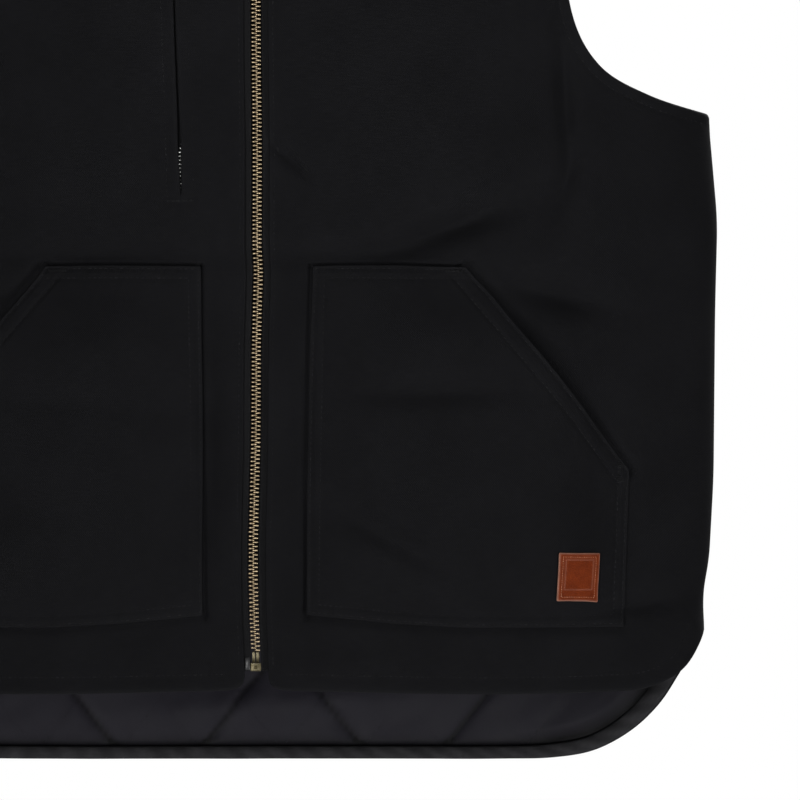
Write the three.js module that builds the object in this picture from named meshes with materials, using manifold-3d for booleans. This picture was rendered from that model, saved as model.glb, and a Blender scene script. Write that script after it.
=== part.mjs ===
// Work vest in heavy cotton duck with a quilted lining, zipped shut and held up by its shoulders.
// Millimetres, +Z up. The front faces -Y and the wearer's left is +X.
// The origin is the middle of the neck, level with the high points of the shoulders.

import * as THREE from 'three';
import { mergeVertices } from 'three/addons/utils/BufferGeometryUtils.js';
import Module from 'manifold-3d';

const wasm = await Module();
wasm.setup();

const FRONT = -1;
const BACK = 1;
const LEFT = 1;
const RIGHT = -1;
const CLEARANCE = 0.3;
const WELD = 1e-4;
const SMALL_STEP = 1e-3;

// The body that the cloth hangs round: a lens in plan, rounded over at the shoulders.
const BODY = { frontDepth: 90, backDepth: 68, roundOver: 200, flatness: 2.2, sideFullness: 0.75 };
const CROWDING = 4 / 3;
const SHOULDER = { neckHalf: 88, tipX: 215, drop: 50, fade: 300 };

// Half width to the middle of the cloth, a row for each change of direction down the side.
const SIDE_PROFILE = [
  { z: -320, half: 285 },
  { z: -383, half: 290.5 },
  { z: -440, half: 289 },
  { z: -545, half: 288 },
  { z: -600, half: 285 },
  { z: -619, half: 280.5 },
  { z: -632, half: 282 },
];

// Soft folds in the fronts: middle, lean from upright, reach along and across, and how deep they sink.
const FOLDS = [
  { x: 196, z: -330, lean: 0.05, along: 75, across: 16, depth: 3 },
  { x: 133, z: -382, lean: 1.2, along: 55, across: 15, depth: 4 },
  { x: 205, z: -428, lean: -1.35, along: 50, across: 16, depth: 3 },
  { x: 245, z: -600, lean: 1.3, along: 45, across: 18, depth: 3 },
  { x: -120, z: -385, lean: -1.25, along: 60, across: 18, depth: 3 },
  { x: -235, z: -440, lean: 1.2, along: 45, across: 18, depth: 3 },
];

// Edges of the cloth pieces on the wearer's left, which smooth curves run through.
const ARMHOLE_EDGE = [
  { x: 215, z: -50 },
  { x: 199, z: -120 },
  { x: 194, z: -190 },
  { x: 199, z: -250 },
  { x: 217, z: -286 },
  { x: 249, z: -307 },
  { x: 287, z: -320 },
];
const FRONT_HEM = [
  { x: 285, z: -629 },
  { x: 280, z: -650 },
  { x: 268, z: -668 },
  { x: 246, z: -678.5 },
  { x: 150, z: -682 },
  { x: 60, z: -680 },
  { x: 18, z: -677.5 },
  { x: 10.5, z: -675 },
  { x: 7.5, z: -668 },
];
const TAIL_EDGE = [
  { x: 285, z: -629 },
  { x: 279, z: -650 },
  { x: 268, z: -669 },
  { x: 255, z: -689 },
  { x: 237, z: -706 },
  { x: 214, z: -718.5 },
  { x: 186, z: -723 },
  { x: 0, z: -724 },
];
const POCKET_EDGE = [
  { x: 33, z: -632 },
  { x: 85, z: -637 },
  { x: 150, z: -638.5 },
  { x: 231, z: -635 },
  { x: 234.5, z: -540.5 },
  { x: 132, z: -412.6 },
  { x: 35.6, z: -412.6 },
];

// Cloth and trim: thicknesses, widths and lengths, and heights from the origin.
const SHELL = { front: 3, back: 2, lining: 4, strip: 2.5, collar: 3, pocket: 2, leather: 2 };
const ZIP = { opening: 7.5, tapeEnd: 14, tape: 1, chain: 6, chainThick: 2.6, end: -655, tapeBottom: -667 };
const ZIP_BOX = { width: 6, height: 5.6, thick: 3.6, neckWidth: 3.6, neckHeight: 4.6 };
const SLIDER = { width: 9, length: 13, plate: 1.4, bridge: 3, fromTop: 6 };
const SLIDER_TAB = { width: 6, length: 26, bite: 0.1 };
const COLLAR = { height: 60, sideHeight: 48, lean: 0.25, stations: 12 };
const NECK = { frontRow: 5, flat: 15, backDrop: 16, inset: 0.4 };
const CHEST_SLIT = { topX: -52.8, topZ: -205, bottomX: -47.6, bottomZ: -367, width: 2 };
const CHEST_ZIP = { chain: 4, chainThick: 1.8, tape: 24, overlap: 6, sliderWidth: 6, sliderLength: 9 };
const PATCH = { x: 203.8, z: -608.2, width: 26.5, height: 30.5, tilt: -0.035, corner: 2 };
const POCKET = { inner: 33, outer: 234.5, top: -412.6, foot: -632, puff: 11, ease: 55 };
const TAIL_STRIP = { sideWidth: 12, bottomWidth: 8, top: -634 };
const LINING_MARGIN = 4;
const BEYOND = { x: 325, above: 15, below: -760 };

// The lattice that every cloth layer shares, so that layers lie parallel and never cross.
const ROUND_ROWS = 8;
const STRAIGHT_ROWS = 14;
const LATTICE_FOOT = 742;
const ACROSS = [0, 0.022, 0.055, 0.11, 0.17, 0.24, 0.31, 0.38, 0.46, 0.54, 0.62, 0.7, 0.78, 0.86, 0.94, 1];
const COLUMNS = [...ACROSS.slice(1).map((a) => -a).reverse(), ...ACROSS];
const LINING_REACH = 0.94;
const CURVE_STEPS = 3;
const NECK_STEPS = 18;

function roundRow(index) {
  return BODY.roundOver * (1 - Math.cos((index / ROUND_ROWS) * (Math.PI / 2)));
}

function latticeRows() {
  const rows = [];
  for (let i = 0; i <= ROUND_ROWS; i += 1) {
    rows.push(roundRow(i));
  }
  const step = (LATTICE_FOOT - BODY.roundOver) / STRAIGHT_ROWS;
  for (let i = 1; i <= STRAIGHT_ROWS; i += 1) {
    rows.push(BODY.roundOver + i * step);
  }
  return rows;
}

const ROWS = latticeRows();
const NECK_DROP = roundRow(NECK.frontRow);

// The body surface

function halfWidth(z) {
  const first = SIDE_PROFILE[0];
  if (z >= first.z) {
    return first.half;
  }
  for (let i = 1; i < SIDE_PROFILE.length; i += 1) {
    const above = SIDE_PROFILE[i - 1];
    const below = SIDE_PROFILE[i];
    if (z >= below.z) {
      return THREE.MathUtils.mapLinear(z, above.z, below.z, above.half, below.half);
    }
  }
  return SIDE_PROFILE.at(-1).half;
}

function foldSink(x, z) {
  let sink = 0;
  for (const fold of FOLDS) {
    const dx = x - fold.x;
    const dz = z - fold.z;
    const along = dz * Math.cos(fold.lean) + dx * Math.sin(fold.lean);
    const across = dx * Math.cos(fold.lean) - dz * Math.sin(fold.lean);
    sink += fold.depth * Math.exp(-((along / fold.along) ** 2) - (across / fold.across) ** 2);
  }
  return sink;
}

// A point of the body: across runs from -1 to 1 between the side seams, down is the way from the shoulder.
function bodyPoint(face, across, down) {
  const half = halfWidth(-down);
  const x = Math.sign(across) * half * (1 - (1 - Math.abs(across)) ** CROWDING);
  const slope = SHOULDER.drop / (SHOULDER.tipX - SHOULDER.neckHalf);
  const ridge = -slope * Math.max(0, Math.abs(x) - SHOULDER.neckHalf);
  const z = -down + ridge * Math.max(0, 1 - down / SHOULDER.fade);
  const lens = (1 - Math.abs(x / half) ** BODY.flatness) ** BODY.sideFullness;
  const rise = Math.sqrt(1 - (1 - Math.min(down / BODY.roundOver, 1)) ** 2);
  const depth = face === FRONT ? BODY.frontDepth : BODY.backDepth;
  const sink = face === FRONT ? foldSink(x, z) * lens : 0;
  return new THREE.Vector3(x, face * (CLEARANCE / 2 + depth * lens * rise - sink), z);
}

// The way out of the cloth, which on the side and shoulder seams lies between front and back.
function bodyNormal(face, across, down) {
  const sideways = across > 0 ? -SMALL_STEP : SMALL_STEP;
  const here = bodyPoint(face, across, down);
  const alongX = bodyPoint(face, across + sideways, down).sub(here).multiplyScalar(Math.sign(sideways));
  const alongZ = bodyPoint(face, across, down + SMALL_STEP).sub(here);
  const normal = alongX.cross(alongZ).multiplyScalar(face);
  const onSeam = down === 0 || Math.abs(across) === 1;
  return normal.setY(onSeam ? 0 : normal.y).normalize();
}

// Closed solids from meshes, and meshes from solids

function toSolid(geometry) {
  geometry.deleteAttribute('normal');
  geometry.deleteAttribute('uv');
  const merged = mergeVertices(geometry, WELD);
  const mesh = new wasm.Mesh({
    numProp: 3,
    vertProperties: new Float32Array(merged.attributes.position.array),
    triVerts: new Uint32Array(merged.index.array),
  });
  return new wasm.Manifold(mesh);
}

function toGeometry(solid) {
  const mesh = solid.getMesh();
  const geometry = new THREE.BufferGeometry();
  geometry.setAttribute('position', new THREE.Float32BufferAttribute(mesh.vertProperties, 3));
  geometry.setIndex(new THREE.Uint32BufferAttribute(mesh.triVerts, 1));
  geometry.computeVertexNormals();
  return geometry;
}

// A wall between two skins of points, each a grid of rows, closed round its rim.
function wall(outerSkin, innerSkin) {
  const rows = outerSkin.length;
  const columns = outerSkin[0].length;
  const points = [...outerSkin.flat(), ...innerSkin.flat()];
  const outer = (row, column) => row * columns + column;
  const inner = (row, column) => rows * columns + row * columns + column;
  const index = [];
  const quad = (a, b, c, d) => index.push(a, b, c, a, c, d);
  for (let r = 0; r < rows - 1; r += 1) {
    for (let c = 0; c < columns - 1; c += 1) {
      quad(outer(r, c), outer(r + 1, c), outer(r + 1, c + 1), outer(r, c + 1));
      index.push(inner(r, c), inner(r + 1, c + 1), inner(r + 1, c));
      index.push(inner(r, c), inner(r, c + 1), inner(r + 1, c + 1));
    }
  }
  for (let c = 0; c < columns - 1; c += 1) {
    quad(outer(0, c + 1), inner(0, c + 1), inner(0, c), outer(0, c));
    quad(outer(rows - 1, c), inner(rows - 1, c), inner(rows - 1, c + 1), outer(rows - 1, c + 1));
  }
  for (let r = 0; r < rows - 1; r += 1) {
    quad(outer(r, 0), inner(r, 0), inner(r + 1, 0), outer(r + 1, 0));
    quad(outer(r + 1, columns - 1), inner(r + 1, columns - 1), inner(r, columns - 1), outer(r, columns - 1));
  }
  const geometry = new THREE.BufferGeometry().setFromPoints(points);
  geometry.setIndex(index);
  return toSolid(geometry);
}

// A layer of cloth over the whole lattice, between two distances from the body, lifted where it puffs out.
function layer(face, inner, outer, { lift = () => 0, reach = 1 } = {}) {
  const columns = COLUMNS.filter((across) => Math.abs(across) <= reach);
  const ordered = face === FRONT ? columns : [...columns].reverse();
  const skin = (distance) => ROWS.map((down) => ordered.map((across) => {
    const point = bodyPoint(face, across, down);
    const raise = distance + lift(point.x, point.z);
    return point.addScaledVector(bodyNormal(face, across, down), raise);
  }));
  return wall(skin(outer), skin(inner));
}

// A prism through the whole depth of the vest, over an outline drawn in X and Z.
function prism(points) {
  const depth = 4 * BODY.frontDepth;
  const geometry = new THREE.ExtrudeGeometry(new THREE.Shape(points), { depth, bevelEnabled: false });
  geometry.rotateX(Math.PI / 2);
  geometry.translate(0, depth / 2, 0);
  return toSolid(geometry);
}

function place(x, z) {
  return new THREE.Vector2(x, z);
}

function mirrored(points) {
  return points.map((p) => place(-p.x, p.y)).reverse();
}

function onSide(side, points) {
  return side === LEFT ? points : mirrored(points);
}

function bothSides(points) {
  return [...points, ...mirrored(points)];
}

// A rectangle round a leaning middle line
function slantedStrip(x0, z0, x1, z1, width) {
  const line = place(x1 - x0, z1 - z0).normalize();
  const out = place(-line.y, line.x).multiplyScalar(width / 2);
  return [
    place(x0 + out.x, z0 + out.y),
    place(x0 - out.x, z0 - out.y),
    place(x1 - out.x, z1 - out.y),
    place(x1 + out.x, z1 + out.y),
  ];
}

// Outlines of the cloth pieces, as points in X and Z

function smooth(rows) {
  const curve = new THREE.SplineCurve(rows.map((row) => place(row.x, row.z)));
  return curve.getPoints((rows.length - 1) * CURVE_STEPS);
}

function quarterEllipse(flat, centreZ, across, drop) {
  return new THREE.EllipseCurve(flat, centreZ, across, drop, -Math.PI / 2, 0).getPoints(NECK_STEPS);
}

// The edge from the shoulder's tip round the armhole to a place outside the side seam
function armhole(inset) {
  const edge = smooth(ARMHOLE_EDGE).map((p) => place(p.x - inset, p.y - inset));
  const tip = edge[0];
  return [place(tip.x, tip.y + BEYOND.above), ...edge, place(BEYOND.x, edge.at(-1).y)];
}

function frontOutline(side) {
  const neck = quarterEllipse(NECK.flat, 0, SHOULDER.neckHalf - NECK.flat, NECK_DROP);
  const hem = smooth(FRONT_HEM);
  return onSide(side, [
    place(ZIP.opening, -NECK_DROP),
    ...neck,
    place(SHOULDER.neckHalf, BEYOND.above),
    ...armhole(0),
    place(BEYOND.x, hem[0].y),
    ...hem,
  ]);
}

function backOutline() {
  const neck = quarterEllipse(0, 0, SHOULDER.neckHalf, NECK.backDrop);
  const tail = smooth(TAIL_EDGE);
  return bothSides([
    ...neck.slice(1),
    place(SHOULDER.neckHalf, BEYOND.above),
    ...armhole(0),
    place(BEYOND.x, tail[0].y),
    ...tail.slice(0, -1),
  ]);
}

// The tail's edge moved in by the width of its turned strip, and by a little more for what ends at the strip
function stripEdge(extra) {
  const edge = smooth(TAIL_EDGE);
  return edge.map((point, i) => {
    const before = edge[Math.max(i - 1, 0)];
    const after = edge[Math.min(i + 1, edge.length - 1)];
    const run = after.clone().sub(before).normalize();
    const share = Math.min((2 * i) / edge.length, 1);
    const width = THREE.MathUtils.lerp(TAIL_STRIP.sideWidth, TAIL_STRIP.bottomWidth, share) + extra;
    return place(point.x + run.y * width, point.y - run.x * width);
  });
}

// The inside of the tail, above the strip's upper edge
function tailInside() {
  return bothSides(stripEdge(0).slice(0, -1));
}

function liningOutline() {
  const neck = quarterEllipse(0, -LINING_MARGIN, SHOULDER.neckHalf + LINING_MARGIN, NECK.backDrop);
  const edge = stripEdge(CLEARANCE);
  return bothSides([
    ...neck.slice(1),
    ...armhole(LINING_MARGIN).slice(1),
    place(BEYOND.x, TAIL_STRIP.top + LINING_MARGIN),
    ...edge.slice(0, -1),
  ]);
}

function pocketOutline(side) {
  return onSide(side, POCKET_EDGE.map((row) => place(row.x, row.z)).reverse());
}

// How far a hand pocket stands off: nothing along its stitched edges, most behind the slanted mouth.
function pocketLift(x, z) {
  const ease = (distance) => THREE.MathUtils.smoothstep(distance, 0, POCKET.ease);
  const out = Math.abs(x);
  const sides = ease(out - POCKET.inner) * ease(POCKET.outer - out);
  return POCKET.puff * sides * ease(POCKET.top - z) * ease(z - POCKET.foot);
}

function patchOutline() {
  const { x, z, width, height, corner, tilt } = PATCH;
  const path = new THREE.Path();
  const corners = [[1, 1], [-1, 1], [-1, -1], [1, -1]];
  corners.forEach(([across, up], i) => {
    const cx = across * (width / 2 - corner);
    const cz = up * (height / 2 - corner);
    path.absarc(cx, cz, corner, (i * Math.PI) / 2, ((i + 1) * Math.PI) / 2);
  });
  const round = path.getPoints(CURVE_STEPS).slice(0, -1);
  return round.map((p) => p.rotateAround(place(0, 0), tilt).add(place(x, z)));
}

// The neckline and the collar that stands on it

// A point of the collar's foot: turn is -1 at the front edge, 0 at the shoulder and 1 at the back.
function neckPoint(turn) {
  const angle = (Math.PI / 2) * (1 - turn ** 2);
  const inset = NECK.inset + (SHELL.collar / 2) * Math.sin(angle);
  const front = turn < 0;
  const flat = front ? NECK.flat : 0;
  const x = flat + (SHOULDER.neckHalf - flat - inset) * Math.sin(angle);
  const drop = (front ? NECK_DROP : NECK.backDrop) - NECK.inset;
  const down = drop * Math.cos(angle);
  const half = halfWidth(0);
  const across = 1 - (1 - x / half) ** (1 / CROWDING);
  const y = bodyPoint(front ? FRONT : BACK, across, down).y;
  return new THREE.Vector3(x, y, -down);
}

function collarFoot() {
  const foot = [new THREE.Vector3(ZIP.opening, neckPoint(-1).y, neckPoint(-1).z)];
  for (let i = 0; i <= 2 * COLLAR.stations; i += 1) {
    foot.push(neckPoint(i / COLLAR.stations - 1));
  }
  const mirrored = foot.slice(0, -1).map((p) => new THREE.Vector3(-p.x, p.y, p.z)).reverse();
  return [...foot, ...mirrored];
}

function collarWay(point) {
  const inward = new THREE.Vector3(-point.x, -point.y, 0).multiplyScalar(1 / SHOULDER.neckHalf);
  return inward.multiplyScalar(COLLAR.lean).add(new THREE.Vector3(0, 0, 1)).normalize();
}

function collar() {
  const foot = collarFoot();
  const heights = [0, 0.5, 1];
  const skin = (offset) => heights.map((share) => foot.map((point, i) => {
    const before = foot[Math.max(i - 1, 0)];
    const after = foot[Math.min(i + 1, foot.length - 1)];
    const run = after.clone().sub(before).setZ(0).normalize();
    const out = new THREE.Vector3(run.y, -run.x, 0);
    const edge = i === 0 || i === foot.length - 1;
    const sideways = edge ? new THREE.Vector3(0, -1, 0) : out;
    const way = collarWay(edge ? new THREE.Vector3(0, point.y, 0) : point);
    const sideShare = edge ? 0 : (point.x / SHOULDER.neckHalf) ** 2;
    const height = THREE.MathUtils.lerp(COLLAR.height, COLLAR.sideHeight, sideShare);
    const raised = point.clone().addScaledVector(way, height * share);
    return raised.addScaledVector(sideways, offset);
  })).reverse();
  return wall(skin(SHELL.collar / 2), skin(-SHELL.collar / 2));
}

// The zip, a set of strips along the middle of the front and up the collar

// Places along the zip, with the way out of the cloth, from the lower end to the upper.
function zipLine(lowZ, shortOfTop) {
  const above = ROWS.filter((down) => down < -lowZ - 1 && down > NECK_DROP - SMALL_STEP).reverse();
  const line = [-lowZ, ...above].map((down) => {
    return { spot: bodyPoint(FRONT, 0, down), out: bodyNormal(FRONT, 0, down) };
  });
  const neck = line.at(-1).spot;
  const way = collarWay(neck);
  const out = new THREE.Vector3(0, -way.z, way.y);
  for (const share of [0.5, 1]) {
    const spot = neck.clone().addScaledVector(way, (COLLAR.height - shortOfTop) * share);
    line.push({ spot, out });
  }
  return line;
}

function zipStrip(x0, x1, inner, outer, lowZ, shortOfTop) {
  const skin = (distance) => zipLine(lowZ, shortOfTop).map(({ spot, out }) => [x0, x1].map((x) => {
    return new THREE.Vector3(x, 0, 0).add(spot).addScaledVector(out, distance);
  })).reverse();
  return wall(skin(outer), skin(inner));
}

const TAPE_OUT = -SHELL.front / 2 - CLEARANCE;
const TAPE_MIDDLE = TAPE_OUT - ZIP.tape / 2;

function zipTape(side) {
  const edges = [side * (ZIP.chain / 2 + CLEARANCE), side * ZIP.tapeEnd].sort((a, b) => a - b);
  return zipStrip(edges[0], edges[1], TAPE_OUT - ZIP.tape, TAPE_OUT, ZIP.tapeBottom, 1);
}

function zipTeeth(side) {
  const edges = [side * (CLEARANCE / 2), (side * ZIP.chain) / 2].sort((a, b) => a - b);
  const half = ZIP.chainThick / 2;
  const shortOfTop = SLIDER.fromTop + SLIDER.bridge + CLEARANCE;
  return zipStrip(edges[0], edges[1], TAPE_MIDDLE - half, TAPE_MIDDLE + half, ZIP.end, shortOfTop);
}

// A block in the zip's own frame: X across, its second size out of the cloth and its third along the zip
function zipBlock({ spot, out }, [width, thick, length], [across, away, along]) {
  const way = new THREE.Vector3(0, out.z, -out.y);
  const geometry = new THREE.BoxGeometry(width, thick, length);
  const turn = new THREE.Matrix4().makeBasis(new THREE.Vector3(1, 0, 0), out.clone().negate(), way);
  geometry.translate(across, -away, along);
  geometry.applyMatrix4(turn);
  geometry.translate(spot.x, spot.y, spot.z);
  return toSolid(geometry);
}

function zipBox() {
  const foot = zipLine(ZIP.end, 0)[0];
  const { width, height, neckWidth, neckHeight, thick } = ZIP_BOX;
  const neck = zipBlock(foot, [neckWidth, ZIP.chainThick, neckHeight],
    [0, TAPE_MIDDLE, -CLEARANCE - neckHeight / 2]);
  const block = zipBlock(foot, [width, thick, height], [0, TAPE_MIDDLE, -neckHeight - height / 2]);
  return neck.add(block);
}

function zipSlider() {
  const top = zipLine(ZIP.end, 0).at(-1);
  const { width, length, plate, bridge, fromTop } = SLIDER;
  const away = ZIP.chainThick / 2 + CLEARANCE + plate / 2;
  const middle = -fromTop - length / 2;
  const face = zipBlock(top, [width, plate, length], [0, TAPE_MIDDLE + away, middle]);
  const rear = zipBlock(top, [width, plate, length], [0, TAPE_MIDDLE - away, middle]);
  const across = zipBlock(top, [bridge, 2 * away, bridge], [0, TAPE_MIDDLE, -fromTop - bridge / 2]);
  const tabAway = TAPE_MIDDLE + away + plate - SLIDER_TAB.bite;
  const tabSize = [SLIDER_TAB.width, plate, SLIDER_TAB.length];
  const tab = zipBlock(top, tabSize, [0, tabAway, middle - SLIDER_TAB.length / 2]);
  return face.add(rear).add(across).add(tab);
}

// The chest pocket's zip, which lies behind a slit in the right front

function chestStrip(width, from, to, inner, outer) {
  const { topX, topZ, bottomX, bottomZ } = CHEST_SLIT;
  const top = place(topX, topZ);
  const line = place(bottomX, bottomZ).sub(top);
  const start = top.clone().addScaledVector(line, from / line.length());
  const end = top.clone().addScaledVector(line, to / line.length());
  const strip = prism(slantedStrip(start.x, start.y, end.x, end.y, width));
  return layer(FRONT, inner, outer).intersect(strip);
}

// The pieces

const halfFront = SHELL.front / 2;
const halfBack = SHELL.back / 2;
const frontCloth = layer(FRONT, -halfFront, halfFront);
const pocketIn = halfFront + CLEARANCE;
const pocketOut = pocketIn + SHELL.pocket;
const pocketCloth = layer(FRONT, pocketIn, pocketOut, { lift: pocketLift });
const leatherIn = pocketOut + CLEARANCE;
const leatherSheet = layer(FRONT, leatherIn, leatherIn + SHELL.leather, { lift: pocketLift });
const liningOut = -halfBack - CLEARANCE;
const liningSheet = layer(BACK, liningOut - SHELL.lining, liningOut, { reach: LINING_REACH });
const stripSheet = layer(BACK, liningOut - SHELL.strip, liningOut);
const chestLength = Math.hypot(CHEST_SLIT.bottomX - CHEST_SLIT.topX, CHEST_SLIT.bottomZ - CHEST_SLIT.topZ);
const chestChainOut = -halfFront - CLEARANCE;
const chestChainIn = chestChainOut - CHEST_ZIP.chainThick;
const chestTapeOut = chestChainIn - CLEARANCE;
const teethStart = CHEST_ZIP.sliderLength + CLEARANCE;

function tailStrip() {
  const { x, below } = BEYOND;
  const top = TAIL_STRIP.top;
  const foot = prism([place(-x, top), place(-x, below), place(x, below), place(x, top)]);
  return stripSheet.intersect(prism(backOutline())).intersect(foot).subtract(prism(tailInside()));
}

function chestTape() {
  const { tape, overlap } = CHEST_ZIP;
  return chestStrip(tape, -overlap, chestLength + overlap, chestTapeOut - ZIP.tape, chestTapeOut);
}

function chestChain(width, from, to) {
  return chestStrip(width, from, to, chestChainIn, chestChainOut);
}

function rightFront() {
  const { topX, topZ, bottomX, bottomZ, width } = CHEST_SLIT;
  const slit = prism(slantedStrip(topX, topZ, bottomX, bottomZ, width));
  return frontCloth.intersect(prism(frontOutline(RIGHT))).subtract(slit);
}

const canvas = { color: 0x1a1a1c, roughness: 0.92, metalness: 0 };
const nylon = { color: 0x2b2a30, roughness: 0.55, metalness: 0 };
const tapeCloth = { color: 0x121213, roughness: 0.9, metalness: 0 };
const brass = { color: 0xb79a63, roughness: 0.35, metalness: 1 };
const leather = { color: 0x8a3f17, roughness: 0.6, metalness: 0 };

const vest = new THREE.Group();

function addPiece(name, solid, finish) {
  const piece = new THREE.Mesh(toGeometry(solid), new THREE.MeshStandardMaterial(finish));
  piece.name = name;
  vest.add(piece);
}

addPiece('front_panel_left', frontCloth.intersect(prism(frontOutline(LEFT))), canvas);
addPiece('front_panel_right', rightFront(), canvas);
addPiece('back_panel', layer(BACK, -halfBack, halfBack).intersect(prism(backOutline())), canvas);
addPiece('back_lining', liningSheet.intersect(prism(liningOutline())), nylon);
addPiece('tail_hem_strip', tailStrip(), canvas);
addPiece('collar', collar(), canvas);
for (const [side, name] of [[LEFT, 'left'], [RIGHT, 'right']]) {
  addPiece(`hand_pocket_${name}`, pocketCloth.intersect(prism(pocketOutline(side))), canvas);
  addPiece(`zip_tape_${name}`, zipTape(side), tapeCloth);
  addPiece(`zip_teeth_${name}`, zipTeeth(side), brass);
}
addPiece('zip_box', zipBox(), brass);
addPiece('zip_slider', zipSlider(), brass);
addPiece('leather_patch', leatherSheet.intersect(prism(patchOutline())), leather);
addPiece('chest_zip_tape', chestTape(), tapeCloth);
addPiece('chest_zip_teeth', chestChain(CHEST_ZIP.chain, teethStart, chestLength), brass);
addPiece('chest_zip_slider', chestChain(CHEST_ZIP.sliderWidth, 0, CHEST_ZIP.sliderLength), brass);

export default vest;
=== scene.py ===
"""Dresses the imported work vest: duck cloth, quilted lining, brass zips, leather patch and thread.

Lengths in the tables are millimetres. +Z is up, the front faces -Y and the wearer's left is +X.
"""

import logging
from dataclasses import dataclass, field
from enum import Enum
from typing import Any, Callable, Optional, Sequence, Union

import bpy
import numpy as np
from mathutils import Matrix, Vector


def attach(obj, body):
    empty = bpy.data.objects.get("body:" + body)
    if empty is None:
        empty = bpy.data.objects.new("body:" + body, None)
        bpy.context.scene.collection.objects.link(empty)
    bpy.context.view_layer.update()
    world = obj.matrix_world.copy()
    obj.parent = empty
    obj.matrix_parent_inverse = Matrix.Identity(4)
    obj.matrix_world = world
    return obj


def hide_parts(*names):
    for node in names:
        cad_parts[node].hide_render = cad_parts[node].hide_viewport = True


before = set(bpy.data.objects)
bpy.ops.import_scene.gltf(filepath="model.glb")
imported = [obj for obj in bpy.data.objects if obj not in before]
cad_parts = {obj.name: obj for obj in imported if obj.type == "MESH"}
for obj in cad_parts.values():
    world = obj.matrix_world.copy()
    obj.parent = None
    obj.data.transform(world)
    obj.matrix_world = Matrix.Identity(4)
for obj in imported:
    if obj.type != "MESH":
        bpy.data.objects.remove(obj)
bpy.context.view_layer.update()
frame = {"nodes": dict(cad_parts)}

LOG = logging.getLogger("vest")
MM = 0.001
FAR = 1e9
TINY = 1e-12
ROOT = "root"
Array = np.ndarray
Arrays = tuple[Array, Array]
Edges = tuple[Array, Array, Array, Array]
Place = Callable[[Array, Array], Arrays]
Pair = tuple[float, float]
Triple = tuple[float, float, float]
Row = tuple[float, ...]
Colour = Triple
Material = bpy.types.Material


class Face(Enum):
    """The two sheets of the vest, with the sign of the way out of each."""

    FRONT = -1
    BACK = 1


class Side(Enum):
    """The wearer's sides, with the sign of X on each."""

    LEFT = 1
    RIGHT = -1


# Lines drawn in X and Z


def smooth_edge(rows: Sequence[Pair], steps: int = 24) -> Array:
    """A curve through the rows: cubics whose slopes are half the step from neighbour to neighbour.

    Args:
        rows: Places (x, z) that the curve passes through.
        steps: Points on each stretch.

    Returns:
        Points (n, 2).
    """
    spots = np.array(rows, float)
    wide = np.vstack([spots[:1], spots, spots[-1:]])
    stretches = len(spots) - 1
    before, start, end, after = (wide[i : i + stretches, None, :] for i in range(4))
    leave = (end - before) / 2
    arrive = (after - start) / 2
    t = np.linspace(0, 1, steps, endpoint=False)[None, :, None]
    cubic = (2 * (start - end) + leave + arrive) * t**3
    square = (3 * (end - start) - 2 * leave - arrive) * t**2
    return np.vstack([(cubic + square + leave * t + start).reshape(-1, 2), spots[-1:]])


def run_lengths(line: Array) -> Array:
    """The way along a line from its start to each of its points."""
    return np.concatenate([[0.0], np.cumsum(np.linalg.norm(np.diff(line, axis=0), axis=1))])


def read_off(table: Array, ways: Array, run: Array) -> Array:
    """The columns of a table, interpolated at some ways along the run that its rows have."""
    return np.stack([np.interp(ways, run, column) for column in table.T], axis=-1)


def along(line: Array, share: Array) -> Array:
    """Points of a line at shares of its length, each coordinate interpolated over the way along it.

    Args:
        line: Points (n, k).
        share: Shares from 0 to 1, in any shape.

    Returns:
        Points with the shape of share and one more axis of k.
    """
    run = run_lengths(line)
    return read_off(line, share * run[-1], run)


def unit(ways: Array) -> Array:
    """Each way divided by its own length."""
    return ways / np.maximum(np.linalg.norm(ways, axis=-1, keepdims=True), TINY)


def inset(line: Array, distance: float) -> Array:
    """A line moved to the left of its own direction, with mitred corners.

    Args:
        line: Points (n, 2).
        distance: How far it moves.

    Returns:
        Points (n, 2).
    """
    way = unit(np.diff(line, axis=0))
    left = np.stack([-way[:, 1], way[:, 0]], axis=1)
    before = np.vstack([left[:1], left])
    after = np.vstack([left, left[-1:]])
    mitre = (before + after) / (1 + np.sum(before * after, axis=1, keepdims=True))
    return line + distance * mitre


def nearest(x: Array, z: Array, line: Array) -> Arrays:
    """How far each place is from a line, and how far along the line its nearest point lies.

    Args:
        x: Places across.
        z: Places up.
        line: Points (n, 2).

    Returns:
        The distances and the ways along, in the shape of x.
    """
    run = run_lengths(line)
    best = np.full(x.shape, FAR)
    way = np.zeros(x.shape)
    for start, end, gone in zip(line[:-1], line[1:], run[:-1]):
        step = end - start
        size = max(float(step @ step), TINY)
        t = np.clip(((x - start[0]) * step[0] + (z - start[1]) * step[1]) / size, 0, 1)
        apart = np.hypot(x - start[0] - t * step[0], z - start[1] - t * step[1])
        closer = apart < best
        best = np.where(closer, apart, best)
        way = np.where(closer, gone + t * np.sqrt(size), way)
    return best, way


def ease(distance: Array, reach: float) -> Array:
    """A smooth step from 0 to 1 over a reach: three times the square less twice the cube."""
    t = np.clip(distance / reach, 0, 1)
    return t * t * (3 - 2 * t)


def bell(distance: Array, reach: float) -> Array:
    """A bell curve that is 1 at no distance: e to the minus square of the share of the reach."""
    return np.exp(-((distance / reach) ** 2))


RIM_WAYS = (0, 0.35, 0.9, 1.6, 2.6)
RIM_END = 4.0
FINE_LINES = 5
FINE_GAP = 0.6


def crowded(length: float, step: float) -> Array:
    """Shares from 0 to 1 that lie closer together near both ends, for rounded cloth edges."""
    rim = np.array(RIM_WAYS)
    inner = np.linspace(RIM_END, length - RIM_END, max(2, round((length - 2 * RIM_END) / step)))
    return np.concatenate([rim, inner, length - rim[::-1]]) / length


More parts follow.
